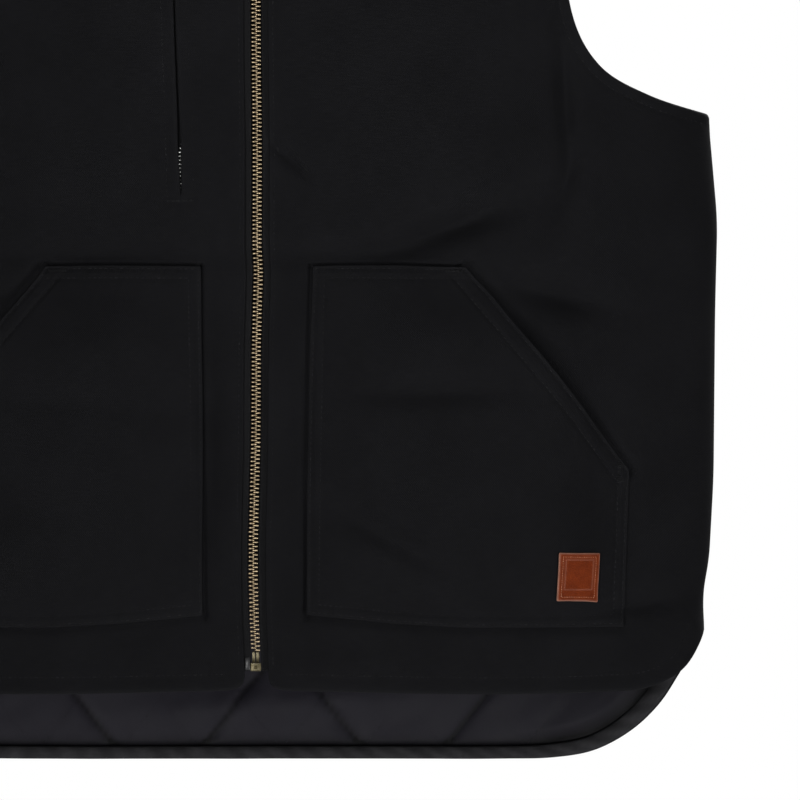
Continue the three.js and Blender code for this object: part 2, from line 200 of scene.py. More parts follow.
def graded(length: float, step: float, spots: Sequence[float], fine: float = 0.8) -> Array:
    """Shares from 0 to 1 as crowded gives them, with finer lines round some ways along the length.

    Args:
        length: The edge's length.
        step: The step between lines.
        spots: The ways along that get finer lines.
        fine: The step there.

    Returns:
        Shares in order.
    """
    base = crowded(length, step) * length
    close = fine * np.arange(-FINE_LINES, FINE_LINES + 1)
    for spot in spots:
        base = base[np.abs(base - spot) > close[-1] + FINE_GAP * step]
        base = np.concatenate([base, spot + close])
    return np.sort(base) / length


def coons(edges: Edges, u: Union[float, Array], v: Union[float, Array]) -> Array:
    """A patch between four edges: left blended to right, plus foot blended to top, less the corners.

    Args:
        edges: Left, right, foot and top lines (n, 2). Left and right run upwards, foot and top rightwards.
        u: Shares across.
        v: Shares up, spread over one grid with u.

    Returns:
        Points with the shape of the grid and one more axis of 2.
    """
    left, right, foot, top = edges
    u, v = np.broadcast_arrays(u, v)
    a = u[..., None]
    b = v[..., None]
    sides = (1 - a) * along(left, v) + a * along(right, v)
    ends = (1 - b) * along(foot, u) + b * along(top, u)
    low = (1 - a) * foot[0] + a * foot[-1]
    high = (1 - a) * top[0] + a * top[-1]
    return sides + ends - (1 - b) * low - b * high


# The form under the cloth


@dataclass(frozen=True)
class Fold:
    """A soft crease, deepest on its middle line, which fades along and across as a bell curve does."""

    x: float
    z: float
    lean: float
    reach: float
    breadth: float
    depth: float

    def sink(self, x: Array, z: Array) -> Array:
        """Depth at places: the depth times e to the minus squares of the shares of reach and breadth."""
        dx = x - self.x
        dz = z - self.z
        length = dz * np.cos(self.lean) + dx * np.sin(self.lean)
        width = dx * np.cos(self.lean) - dz * np.sin(self.lean)
        return self.depth * np.exp(-((length / self.reach) ** 2) - (width / self.breadth) ** 2)


FRONT_FOLDS = (
    Fold(196, -330, 0.05, 75, 20, 3),
    Fold(133, -382, 1.2, 55, 18, 3),
    Fold(205, -428, -1.35, 50, 18, 3),
    Fold(245, -600, 1.3, 45, 18, 3),
    Fold(-120, -385, -1.25, 60, 18, 3),
    Fold(-235, -440, 1.2, 45, 18, 3),
    Fold(195, -310, -0.05, 46, 6, 9.0),
    Fold(193, -362, 0.4, 26, 7, 8.0),
    Fold(20, -344, -0.85, 15, 3.8, 5.0),
    Fold(122, -388, 1.24, 36, 9, 11.5),
    Fold(150, -366, 0.75, 26, 9, 1.8),
    Fold(192, -431, -1.34, 36, 10, 12.5),
    Fold(250, -624, 1.38, 28, 7, 17.0),
    Fold(66, -404, 1.57, 46, 8, 5.0),
    Fold(-90, -405, 1.57, 70, 8, 4.5),
    Fold(29, -520, 0.0, 95, 7, 4.5),
    Fold(-30, -520, 0.0, 105, 8, 4.5),
    Fold(-60, -640, 1.4, 40, 9, 1.6),
    Fold(60, -650, 1.5, 45, 8, 1.4),
    Fold(246, -375, 0.5, 34, 10, 1.8),
    Fold(70, -250, 0.25, 60, 12, 1.2),
    Fold(-110, -300, -0.3, 60, 12, 1.4),
)
BACK_FOLDS = (
    Fold(150, -330, 0.35, 90, 20, 5),
    Fold(-140, -345, -0.4, 95, 20, 5),
    Fold(0, -120, 1.57, 80, 14, 4),
    Fold(70, -560, 0.15, 110, 24, 4),
    Fold(-95, -590, -0.2, 100, 22, 4),
    Fold(228, -610, 1.2, 45, 12, 5),
    Fold(-230, -615, -1.2, 45, 12, 5),
    Fold(60, -420, 1.1, 60, 11, 4),
    Fold(-80, -455, -1.0, 55, 10, 4),
    Fold(175, -215, 0.2, 50, 9, 5),
    Fold(-172, -225, -0.25, 48, 9, 5),
    Fold(15, -690, 1.5, 90, 10, 3),
)


@dataclass(frozen=True)
class Body:
    """The form that the cloth hangs round: a lens in plan, rounded over at the shoulders."""

    front_depth: float = 90.0
    back_depth: float = 68.0
    round_over: float = 200.0
    flatness: float = 2.2
    side_fullness: float = 0.75
    crowding: float = 4 / 3
    neck_half: float = 88.0
    tip_x: float = 215.0
    shoulder_drop: float = 50.0
    shoulder_fade: float = 300.0
    seam_overlap: float = 0.5
    side_down: Row = (320, 383, 440, 545, 600, 619, 632)
    side_half: Row = (285, 290.5, 289, 288, 285, 280.5, 282)
    side_blur: float = 12.0
    side_margin: float = 40.0
    waves: tuple[tuple[float, float, float, float], ...] = (
        (250, 190, 0.4, 0.8),
        (130, -230, 2.1, 0.5),
        (-80, 105, 4.0, 0.25),
        (47, 66, 1.2, 0.1),
    )
    zip_heights: Row = (-670, -650, -635, -610, -588, -525, -462, -415, -399, -336, -273, -180)
    zip_wander: Row = (0.7, -0.1, -0.9, -1.4, -1.5, 0.0, 0.4, 1.8, 0.9, 1.0, 0.2, 0.0)
    wander_reach: float = 45.0

    def half_width(self, down: Array) -> Array:
        """Half the width at a way down from the shoulder, from the side's averaged table."""
        shifts = np.linspace(-self.side_blur, self.side_blur, 13)
        first, last = self.side_down[0], self.side_down[-1]
        rows = np.linspace(first - self.side_margin, last + self.side_margin, 400)
        halves = np.interp(rows[:, None] + shifts, self.side_down, self.side_half).mean(axis=1)
        return np.interp(down, rows, halves)

    def ridge(self, x: Array) -> Array:
        """How far the shoulder line lies below the neck, in proportion to the way past the neck."""
        slope = self.shoulder_drop / (self.tip_x - self.neck_half)
        return -slope * np.maximum(0, np.abs(x) - self.neck_half)

    def fall(self, down: Array) -> Array:
        """The way over the shoulder's round: an arc first, then straight down."""
        arc = np.arccos(np.clip(1 - down / self.round_over, 0, 1)) * self.round_over
        return arc + np.maximum(down - self.round_over, 0)

    def down(self, fall: Array) -> Array:
        """The way down that belongs to a way over the round, which is fall's inverse."""
        turn = np.clip(fall / self.round_over, 0, np.pi / 2)
        return self.round_over * (1 - np.cos(turn)) + np.maximum(fall - self.round_over * np.pi / 2, 0)

    def locate(self, x: Array, z: Array) -> Arrays:
        """The share across and the way down of a place: point's inverse without the wander."""
        ridge = self.ridge(x)
        down = (ridge - z) / (1 + ridge / self.shoulder_fade)
        down = np.maximum(np.where(down < self.shoulder_fade, down, -z), 0)
        reach = np.clip(np.abs(x) / self.half_width(down), 0, 1)
        return np.sign(x) * (1 - (1 - reach) ** (1 / self.crowding)), down

    def drift(self, x: Array, z: Array) -> Array:
        """Slow unevenness of the cloth: a sum of a few sine waves of different length and direction."""
        return sum(h * np.sin(2 * np.pi * (x / a + z / b) + p) for a, b, p, h in self.waves)

    def sink(self, face: Face, x: Array, z: Array) -> Array:
        """Depth of all the folds of one face at places, with the slow unevenness."""
        folds = FRONT_FOLDS if face is Face.FRONT else BACK_FOLDS
        return sum(fold.sink(x, z) for fold in folds) + self.drift(x, z)

    def wander(self, x: Array, z: Array) -> Array:
        """The zip's sideways wander, which fades away from it as a bell curve does."""
        return np.interp(z, self.zip_heights, self.zip_wander) * bell(x, self.wander_reach)

    def point(self, face: Face, across: Array, down: Array) -> Array:
        """Points of the middle of the cloth: depth times lens times round-over, less the folds.

        Args:
            face: Front or back.
            across: Shares from -1 to 1 between the side seams.
            down: The way down from the shoulder.

        Returns:
            Points with the shape of across and one more axis of 3.
        """
        half = self.half_width(down)
        x = np.sign(across) * half * (1 - np.maximum(1 - np.abs(across), 0) ** self.crowding)
        z = -down + self.ridge(x) * np.maximum(0, 1 - down / self.shoulder_fade)
        lens = (1 - np.minimum(np.abs(x) / half, 1) ** self.flatness) ** self.side_fullness
        rise = np.sqrt(1 - (1 - np.minimum(down / self.round_over, 1)) ** 2)
        depth = self.front_depth if face is Face.FRONT else self.back_depth
        out = (depth - self.sink(face, x, z) * rise) * lens * np.minimum(rise, 1) - self.seam_overlap
        shift = self.wander(x, z) if face is Face.FRONT else 0.0
        return np.stack([x + shift, face.value * out, z], axis=-1)

    def skin(self, face: Face, across: Array, down: Array) -> Arrays:
        """Points of the cloth with the unit ways out of it, from the cross product of two small steps."""
        step = 1e-3
        wide = [self.point(face, np.clip(across + s, -1, 1), down) for s in (-step, step)]
        tall = [self.point(face, across, np.maximum(down + s, 0)) for s in (-step, step)]
        out = np.cross(wide[1] - wide[0], tall[1] - tall[0]) * face.value
        return self.point(face, across, down), unit(out)

    def place(self, face: Face, x: Array, z: Array) -> Arrays:
        """Points of the cloth over places in X and Z, with the ways out of it."""
        return self.skin(face, *self.locate(x, z))


BODY = Body()


# Meshes


@dataclass
class Shell:
    """A closed surface: its points, faces, places on the flat cloth, and wear with painted light."""

    points: Array
    quads: Array
    tris: Array = field(default_factory=lambda: np.zeros((0, 3), int))
    cloth: Optional[Array] = None
    wear: Optional[Array] = None

    def __post_init__(self) -> None:
        """Fills in what isn't given: X and Z for the cloth, and neither wear nor painted light."""
        self.cloth = self.points[:, [0, 2]] if self.cloth is None else self.cloth
        self.wear = np.zeros(len(self.points)) if self.wear is None else self.wear

    def outward(self) -> "Shell":
        """The same shell with its faces turned outwards, by the sign of the volume inside them."""
        sides = np.vstack([self.tris, self.quads[:, [0, 1, 2]], self.quads[:, [0, 2, 3]]])
        a, b, c = (self.points[sides[:, k]] for k in range(3))
        inwards = np.einsum("ij,ij->", a, np.cross(b, c)) < 0
        return self.flipped() if inwards else self

    def flipped(self) -> "Shell":
        """The same shell with its faces turned the other way round."""
        self.quads = self.quads[:, ::-1]
        self.tris = self.tris[:, ::-1]
        return self

    def moved(self, across: float) -> "Shell":
        """A copy moved along X."""
        return Shell(self.points + [across, 0, 0], self.quads, self.tris, self.cloth, self.wear)

    def trimmed(self) -> "Shell":
        """The same shell without the points that no face uses."""
        used = np.unique(np.concatenate([self.quads.ravel(), self.tris.ravel()]))
        fresh = np.zeros(len(self.points), int)
        fresh[used] = np.arange(len(used))
        faces = fresh[self.quads], fresh[self.tris]
        return Shell(self.points[used], *faces, self.cloth[used], self.wear[used])


def joined(shells: Sequence[Shell]) -> Shell:
    """Several shells as one, with their faces renumbered.

    Args:
        shells: The shells in order.

    Returns:
        One shell.
    """
    starts = np.cumsum([0] + [len(s.points) for s in shells[:-1]])
    return Shell(
        np.vstack([s.points for s in shells]),
        np.vstack([s.quads + n for s, n in zip(shells, starts)]),
        np.vstack([s.tris + n for s, n in zip(shells, starts)]),
        np.vstack([s.cloth for s in shells]),
        np.concatenate([s.wear for s in shells]),
    )


def scattered(shell: Shell, spots: Array, turns: Array, wear: Optional[Array] = None) -> Shell:
    """Copies of one small shell: each point is turned by a copy's three axes and moved to its spot.

    Args:
        shell: The shape to repeat, about the origin.
        spots: Where the copies go (n, 3).
        turns: Their axes as rows (n, 3, 3).
        wear: A value for each copy, or the shell's own.

    Returns:
        All the copies as one shell.
    """
    count = len(spots)
    size = len(shell.points)
    points = np.einsum("pk,nkj->npj", shell.points, turns) + spots[:, None, :]
    shift = (np.arange(count) * size)[:, None, None]
    tone = np.tile(shell.wear, count) if wear is None else np.repeat(wear, size)
    cloth = np.tile(shell.points[:, :2], (count, 1)) + np.repeat(spots[:, [0, 2]], size, axis=0)
    return Shell(
        points.reshape(-1, 3),
        (shell.quads[None] + shift).reshape(-1, 4),
        (shell.tris[None] + shift).reshape(-1, 3),
        cloth,
        tone,
    )


def lofted(rings: Array, wear: Optional[Array] = None) -> Shell:
    """A closed shape through rings of points, each joined to the next, with a fan over both ends.

    Args:
        rings: Points (rings, points of a ring, 3).
        wear: A wear value for each ring.

    Returns:
        The shape, facing outwards.
    """
    count, size = rings.shape[:2]
    index = np.arange(count * size).reshape(count, size)
    turn = np.roll(index, -1, axis=1)
    quads = np.stack([index[:-1], turn[:-1], turn[1:], index[1:]], axis=-1).reshape(-1, 4)
    ends = np.array([count * size, count * size + 1])
    first = np.stack([turn[0], index[0], np.full(size, ends[0])], axis=1)
    last = np.stack([index[-1], turn[-1], np.full(size, ends[1])], axis=1)
    points = np.vstack([rings.reshape(-1, 3), rings[0].mean(axis=0), rings[-1].mean(axis=0)])
    tone = np.zeros(count) if wear is None else wear
    tone = np.concatenate([np.repeat(tone, size), tone[[0, -1]]])
    return Shell(points, quads, np.vstack([first, last]), wear=tone).outward()


def rounded_ring(width: float, depth: float, corner: float, steps: int = 2) -> Array:
    """A rectangle with quarter circles for corners, as points (n, 2) about the origin.

    Args:
        width: Its first size.
        depth: Its second size.
        corner: The corners' radius.
        steps: Chords on each corner.

    Returns:
        Points round it, in order.
    """
    turn = np.linspace(0, np.pi / 2, steps + 1)
    quarter = np.arange(4)[:, None] * np.pi / 2 + turn[None]
    centre = np.array([[1, 1], [-1, 1], [-1, -1], [1, -1]]) * (np.array([width, depth]) / 2 - corner)
    arcs = np.stack([np.cos(quarter), np.sin(quarter)], axis=-1) * corner
    return (centre[:, None, :] + arcs).reshape(-1, 2)


@dataclass(frozen=True)
class Slit:
    """A cut along one column of a grid, open between two rows."""

    column: int
    first: int
    last: int


def wall(
    middle: Array,
    out: Array,
    above: Array,
    below: Array,
    cloth: Array,
    wear: Array,
    slit: Optional[Slit] = None,
) -> Shell:
    """A sheet of cloth: two skins over one grid that share their rim, and the rim of a slit.

    Args:
        middle: Points of its middle (rows, columns, 3).
        out: The unit ways out of it.
        above: How far the outer skin lies out of the middle.
        below: How far the inner skin lies behind it, so that both meet along the rim.
        cloth: Places on the flat cloth (rows, columns, 2).
        wear: Wear, with painted shade on the lining and painted highlights on the tail strip (rows,
            columns).
        slit: A cut between two columns that lie on each other.

    Returns:
        The closed sheet, facing outwards.
    """
    rows, columns = wear.shape
    front = np.arange(rows * columns).reshape(rows, columns)
    rear = front + rows * columns
    shared = np.zeros((rows, columns), bool)
    shared[[0, -1]] = True
    shared[:, [0, -1]] = True
    kept = np.ones((rows - 1, columns - 1), bool)
    if slit is not None:
        shut = np.ones(rows, bool)
        shut[slit.first + 1 : slit.last] = False
        kept[:, slit.column] = False
        shared[slit.first : slit.last + 1, slit.column : slit.column + 2] = True
        front[shut, slit.column + 1] = front[shut, slit.column]
        rear[shut, slit.column + 1] = rear[shut, slit.column]
    rear = np.where(shared, front, rear)
    quads = [
        np.stack([g[:-1, :-1], g[:-1, 1:], g[1:, 1:], g[1:, :-1]], axis=-1)[kept][:, way]
        for g, way in ((front, [0, 1, 2, 3]), (rear, [3, 2, 1, 0]))
    ]
    skins = middle + out * above[..., None], middle - out * below[..., None]
    points = np.vstack([skin.reshape(-1, 3) for skin in skins])
    flat = np.vstack([cloth.reshape(-1, 2)] * 2)
    shell = Shell(points, np.vstack(quads), cloth=flat, wear=np.tile(wear.ravel(), 2))
    return shell.trimmed().outward()


def rim_distance(points: Array) -> Array:
    """The way from each point of a grid to the nearest of its four edges, measured along the grid.

    Args:
        points: The grid (m, n, 3).

    Returns:
        Distances (m, n).
    """
    found = []
    for axis in (0, 1):
        steps = np.linalg.norm(np.diff(points, axis=axis), axis=-1)
        start = np.zeros_like(np.take(steps, [0], axis=axis))
        run = np.concatenate([start, np.cumsum(steps, axis=axis)], axis=axis)
        found.append(np.minimum(run, np.take(run, [-1], axis=axis) - run))
    return np.minimum(*found)


def rounding(distance: Array, radius: float) -> Array:
    """The share of a cloth's thickness near its edge, as a quarter circle gives it."""
    return np.sqrt(1 - (1 - np.clip(distance / radius, 0, 1)) ** 2)


def make_piece(
    name: str,
    shell: Shell,
    finish: Material,
    nodes: Sequence[str] = (),
) -> bpy.types.Object:
    """Makes a shell an object in metres that rides on the vest.

    Args:
        name: The piece's name.
        shell: Its surface.
        finish: Its material.
        nodes: The solids that it stands for.

    Returns:
        The object.
    """
    mesh = bpy.data.meshes.new(name)
    mesh.vertices.add(len(shell.points))
    mesh.vertices.foreach_set("co", (shell.points * MM).astype(np.float32).ravel())
    loops = np.concatenate([shell.quads.ravel(), shell.tris.ravel()]).astype(np.int32)
    squares = len(shell.quads)
    starts = np.concatenate([np.arange(squares) * 4, squares * 4 + np.arange(len(shell.tris)) * 3])
    mesh.loops.add(len(loops))
    mesh.loops.foreach_set("vertex_index", loops)
    mesh.polygons.add(len(starts))
    mesh.polygons.foreach_set("loop_start", starts.astype(np.int32))
    mesh.polygons.foreach_set("use_smooth", np.ones(len(starts), bool))
    mesh.update(calc_edges=True)
    flat = (shell.cloth * MM).astype(np.float32)
    mesh.uv_layers.new(name="cloth").data.foreach_set("uv", flat[loops].ravel())
    # The points' values: wear, with painted shade on the lining and a painted highlight on the tail strip's
    # ripples.
    mark = mesh.attributes.new("wear", "FLOAT", "POINT")
    mark.data.foreach_set("value", shell.wear.astype(np.float32))
    mesh.materials.append(finish)
    piece = bpy.data.objects.new(name, mesh)
    bpy.context.scene.collection.objects.link(piece)
    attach(piece, ROOT)
    if nodes:
        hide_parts(*nodes)
    LOG.info("%s: %d faces", name, len(starts))
    return piece


# Finishes


Value = Union["Flow", float]


class Flow:
    """A shader socket on which arithmetic adds Math nodes."""

    def __init__(self, bench: "Bench", socket: bpy.types.NodeSocket) -> None:
        """Keeps the socket and the bench that its nodes go on."""
        self.bench = bench
        self.socket = socket

    def __add__(self, other: Value) -> "Flow":
        """The sum."""
        return self.bench.math("ADD", self, other)

    __radd__ = __add__

    def __sub__(self, other: Value) -> "Flow":
        """The difference."""
        return self.bench.math("SUBTRACT", self, other)

    def __rsub__(self, other: Value) -> "Flow":
        """The difference, from the right."""
        return self.bench.math("SUBTRACT", other, self)

    def __mul__(self, other: Value) -> "Flow":
        """The product."""
        return self.bench.math("MULTIPLY", self, other)

    __rmul__ = __mul__

    def __truediv__(self, other: Value) -> "Flow":
        """The quotient."""
        return self.bench.math("DIVIDE", self, other)


class Bench:
    """Makes the nodes of one material, or of the world."""

    def __init__(self, name: str, world: bool = False) -> None:
        """Starts an empty tree."""
        self.owner = (bpy.data.worlds if world else bpy.data.materials).new(name)
        self.owner.use_nodes = True
        self.tree = self.owner.node_tree
        self.tree.nodes.clear()

    def node(
        self,
        kind: str,
        settings: Optional[dict[str, Any]] = None,
        inputs: Optional[dict[Union[str, int], Any]] = None,
    ) -> bpy.types.Node:
        """Adds a node, sets its settings first and then its inputs.

        Args:
            kind: The node's type.
            settings: Its own properties.
            inputs: Values or flows for its sockets, by name or number.

        Returns:
            The node.
        """
        made = self.tree.nodes.new(kind)
        for key, value in (settings or {}).items():
            setattr(made, key, value)
        for key, value in (inputs or {}).items():
            if isinstance(value, Flow):
                self.tree.links.new(value.socket, made.inputs[key])
            else:
                made.inputs[key].default_value = value
        return made

    def flow(self, kind: str, output: Union[str, int] = 0, **rest: Any) -> Flow:
        """One output of a new node."""
        return Flow(self, self.node(kind, **rest).outputs[output])

    def math(self, operation: str, *values: Value) -> Flow:
        """A Math node on values or flows."""
        inputs = dict(enumerate(values))
        return self.flow("ShaderNodeMath", settings={"operation": operation}, inputs=inputs)

    def sine(self, angle: Value) -> Flow:
        """The sine of an angle."""
        return self.math("SINE", angle)

    def clamped(self, value: Flow) -> Flow:
        """A value held between 0 and 1."""
        return self.flow("ShaderNodeClamp", inputs={"Value": value})

    def mark(self, name: str) -> Flow:
        """A value that the piece's points carry."""
        return self.flow("ShaderNodeAttribute", "Fac", settings={"attribute_name": name})

    def flat_cloth(self) -> Flow:
        """The place on the flat cloth, in metres."""
        return self.flow("ShaderNodeUVMap", settings={"uv_map": "cloth"})

    def solid_place(self) -> Flow:
        """The place in the vest's own frame."""
        return self.flow("ShaderNodeTexCoord", "Object")

    def axes(self, vector: Flow) -> tuple[Flow, Flow, Flow]:
        """The three parts of a vector."""
        made = self.node("ShaderNodeSeparateXYZ", inputs={"Vector": vector})
        return tuple(Flow(self, made.outputs[k]) for k in range(3))

    def noise(
        self, place: Flow, scale: float, detail: float = 3.0, stretch: Sequence[float] = (1, 1, 1)
    ) -> Flow:
        """Noise about a half, on a place that may be stretched first."""
        moved = self.flow("ShaderNodeMapping", inputs={"Vector": place, "Scale": tuple(stretch)})
        return self.flow("ShaderNodeTexNoise", inputs={"Vector": moved, "Scale": scale, "Detail": detail})

    def blend(self, share: Value, first: Any, second: Any) -> Flow:
        """A colour between two, by a share."""
        colours = (c if isinstance(c, Flow) else (*c, 1.0) for c in (first, second))
        inputs = dict(zip((0, 6, 7), (share, *colours)))
        return self.flow("ShaderNodeMix", 2, settings={"data_type": "RGBA"}, inputs=inputs)

    def bump(self, height: Flow, depth_mm: float, under: Optional[Flow] = None) -> Flow:
        """The normal of a relief whose height runs from 0 to 1."""
        inputs = {"Height": height, "Distance": depth_mm * MM, "Strength": 1.0}
        if under is not None:
            inputs["Normal"] = under
        return self.flow("ShaderNodeBump", inputs=inputs)

    def finish(self, inputs: dict[str, Any]) -> Material:
        """Closes the material with its shader.

        Args:
            inputs: Values or flows for the shader's sockets.

        Returns:
            The material.
        """
        shader = self.flow("ShaderNodeBsdfPrincipled", inputs=inputs)
        self.node("ShaderNodeOutputMaterial", inputs={"Surface": shader})
        return self.owner


@dataclass(frozen=True)
class DuckFinish:
    """Tightly woven cotton duck: yarns over and under, slubs, mottling and paler worn edges."""

    name: str = "duck"
    colour: Colour = (0.0050, 0.0050, 0.0057)
    light: Colour = (0.0098, 0.0098, 0.0110)
    faded: Colour = (0.020, 0.020, 0.0215)
    warp_mm: float = 0.62
    weft_mm: float = 0.78
    relief_mm: float = 0.16
    gloss: float = 0.05

    def build(self) -> Material:
        """Makes the material: height is the product of two sines, and colour follows height and noise."""
        b = Bench(self.name)
        place = b.flat_cloth()
        x, z, _ = b.axes(place)
        warp = b.sine(x * (np.pi / (self.warp_mm * MM)))
        weft = b.sine(z * (np.pi / (self.weft_mm * MM)))
        slub = b.noise(place, 120, 2, (1, 9, 1))
        mottle = b.noise(place, 22, 4)
        height = 0.5 + 0.32 * warp * weft + 0.3 * (slub - 0.5)
        tone = b.clamped(0.27 + 0.5 * (height - 0.5) + 0.9 * (mottle - 0.5) + 0.8 * (slub - 0.5))
        fleck = b.clamped((b.noise(place, 240, 1, (1, 6, 1)) - 0.66) * 7.0)
        cloth = b.blend(b.clamped(tone + 0.55 * fleck), self.colour, self.light)
        # Paler worn edges and seams; on the tail strip the same blend paints a highlight on the ripples'
        # crests.
        worn = b.clamped(b.mark("wear") * (0.35 + 1.1 * b.noise(place, 260, 3)))
        return b.finish({
            "Base Color": b.blend(worn, cloth, self.faded),
            "Roughness": b.clamped(0.86 + 0.16 * (mottle - 0.5)),
            "Specular IOR Level": self.gloss,
            "Normal": b.bump(height, self.relief_mm),
        })


@dataclass(frozen=True)
class LiningFinish:
    """Thin nylon taffeta: a fine even weave with a soft shine."""

    name: str = "nylon"
    colour: Colour = (0.0106, 0.0100, 0.0133)
    light: Colour = (0.0177, 0.0167, 0.0218)
    # Near-black for the seams, also used as painted shade along the rim, in the tail's corners and towards
    # the wearer's left.
    seam: Colour = (0.0016, 0.0016, 0.0020)
    yarn_mm: float = 0.4
    relief_mm: float = 0.03
    gloss: float = 0.07

    def build(self) -> Material:
        """Makes the material: crossed sines for the weave, noise for crumples, dark in the seams and in
        painted shade.
        """
        b = Bench(self.name)
        place = b.flat_cloth()
        x, z, _ = b.axes(place)
        weave = b.sine(x * (np.pi / (self.yarn_mm * MM))) * b.sine(z * (np.pi / (self.yarn_mm * MM)))
        crumple = b.noise(place, 70, 4, (1, 0.7, 1))
        tone = b.clamped(0.5 + 0.12 * weave + 0.7 * (crumple - 0.5))
        cloth = b.blend(tone, self.colour, self.light)
        # Painted shade: the points' values darken the rim, the tail's corners and the wearer's left side,
        # as well as the seams.
        seam = b.clamped(b.mark("wear") * 0.92)
        relief = b.bump(crumple, 0.6)
        return b.finish({
            "Base Color": b.blend(seam, cloth, self.seam),
            "Roughness": b.clamped(0.5 + 0.25 * (crumple - 0.5)),
            "Specular IOR Level": self.gloss,
            "Normal": b.bump(0.5 + 0.5 * weave, self.relief_mm, relief),
        })


@dataclass(frozen=True)
class TapeFinish:
    """Woven zip tape: a herringbone of fine ribs."""

    name: str = "tape"
    colour: Colour = (0.0055, 0.0055, 0.0060)
    light: Colour = (0.012, 0.012, 0.013)
    rib_mm: float = 0.9
    relief_mm: float = 0.15

    def build(self) -> Material:
        """Makes the material: ribs that lean one way and then the other, from the sine of a zigzag."""
        b = Bench(self.name)
        x, z, _ = b.axes(b.flat_cloth())
        zigzag = b.math("PINGPONG", x, 1.6 * MM)
        rib = 0.5 + 0.5 * b.sine((z + zigzag) * (2 * np.pi / (self.rib_mm * MM)))
        return b.finish({
            "Base Color": b.blend(rib, self.colour, self.light),
            "Roughness": 0.85 - 0.1 * rib,
            "Specular IOR Level": 0.08,
            "Normal": b.bump(rib, self.relief_mm),
        })


@dataclass(frozen=True)
class ThreadFinish:
    """Sewing thread: two plies twisted round each other."""

    name: str
    colour: Colour
    light: Colour
    gloss: float = 0.15

    def build(self) -> Material:
        """Makes the material: slanting ply lines from a sine, and a tone for each stitch."""
        b = Bench(self.name)
        place = b.flat_cloth()
        x, z, _ = b.axes(place)
        ply = 0.5 + 0.5 * b.sine((x + 0.6 * z) * (2 * np.pi / (0.45 * MM)))
        tone = b.clamped(b.mark("wear") * 0.7 + 0.3 * ply)
        return b.finish({
            "Base Color": b.blend(tone, self.colour, self.light),
            "Roughness": 0.7 - 0.15 * ply,
            "Specular IOR Level": self.gloss,
            "Normal": b.bump(ply, 0.06),
        })


@dataclass(frozen=True)
class BrassFinish:
    """Pale brass that has darkened in the hollows and rubbed bright on the high places."""

    name: str = "brass"
    colour: Colour = (0.14, 0.092, 0.045)
    bright: Colour = (0.50, 0.40, 0.265)
    relief_mm: float = 0.05

    def build(self) -> Material:
        """Makes the material: brightness from the wear that each point carries, broken up by fine noise."""
        b = Bench(self.name)
        place = b.solid_place()
        stain = b.noise(place, 900, 3)
        broad = b.noise(place, 60, 2)
        rubbed = b.clamped(b.mark("wear") + 0.5 * (stain - 0.5) + 0.5 * (broad - 0.5))
        return b.finish({
            "Base Color": b.blend(rubbed, self.colour, self.bright),
            "Metallic": 1.0,
            "Roughness": b.clamped(0.5 - 0.16 * rubbed + 0.2 * (stain - 0.5)),
            "Normal": b.bump(stain, self.relief_mm),
        })


@dataclass(frozen=True)
class LeatherFinish:
    """Orange-brown leather: pebbled grain, mottling and paler rubbed edges."""

    name: str = "leather"
    colour: Colour = (0.098, 0.0150, 0.0030)
    light: Colour = (0.185, 0.0310, 0.0060)
    rubbed: Colour = (0.30, 0.150, 0.105)
    grain_mm: float = 0.9
    relief_mm: float = 0.16

    def build(self) -> Material:
        """Makes the material: grain by the distance to cell borders, colour by grain, noise and wear."""
        b = Bench(self.name)
        place = b.solid_place()
        scale = 1 / (self.grain_mm * MM)
        border = b.flow(
            "ShaderNodeTexVoronoi",
            "Distance",
            settings={"feature": "DISTANCE_TO_EDGE"},
            inputs={"Vector": place, "Scale": scale},
        )
        pebble = b.clamped(border * 3.0)
        mottle = b.noise(place, 180, 4)
        tone = b.clamped(0.1 + 0.45 * pebble + 1.1 * (mottle - 0.4))
        worn = b.clamped(b.mark("wear") * (0.55 + 0.8 * (mottle - 0.3)))
        return b.finish({
            "Base Color": b.blend(worn, b.blend(tone, self.colour, self.light), self.rubbed),
            "Roughness": b.clamped(0.62 - 0.16 * pebble + 0.2 * (mottle - 0.5)),
            "Specular IOR Level": 0.06,
            "Normal": b.bump(pebble, self.relief_mm),
        })


@dataclass(frozen=True)
class FilmFinish:
    """Thin clear plastic over black tape, paler along its rim."""

    name: str = "film"
    colour: Colour = (0.006, 0.006, 0.0065)
    rim: Colour = (0.026, 0.026, 0.027)

    def build(self) -> Material:
        """Makes the material: the rim shows by the wear that each point carries."""
        b = Bench(self.name)
        return b.finish({
            "Base Color": b.blend(b.clamped(b.mark("wear")), self.colour, self.rim),
            "Roughness": 0.3,
        })


# Sewing


SEED = 7
STEADY = np.random.default_rng(SEED)
TONE_BIAS = 2.5
THREAD_LIFT = 0.15


def stitch_shape(length: float, width: float) -> Shell:
    """One stitch: an oval carried along a shallow arch, thinner where it dives into the cloth.

    Args:
        length: From end to end.
        width: The thread's width.

    Returns:
        The stitch along X.
    """
    share = np.array([-1.0, -0.7, 0.0, 0.7, 1.0])[:, None]
    swell = np.array([0.35, 0.85, 1.0, 0.85, 0.35])[:, None] * width / 2
    turn = np.linspace(0, 2 * np.pi, 6, endpoint=False)[None]
    height = swell * np.sin(turn) * 0.8 - 0.55 * width * share**2
    rings = np.stack([share * length / 2 + 0 * turn, swell * np.cos(turn), height], axis=-1)
    return lofted(rings)


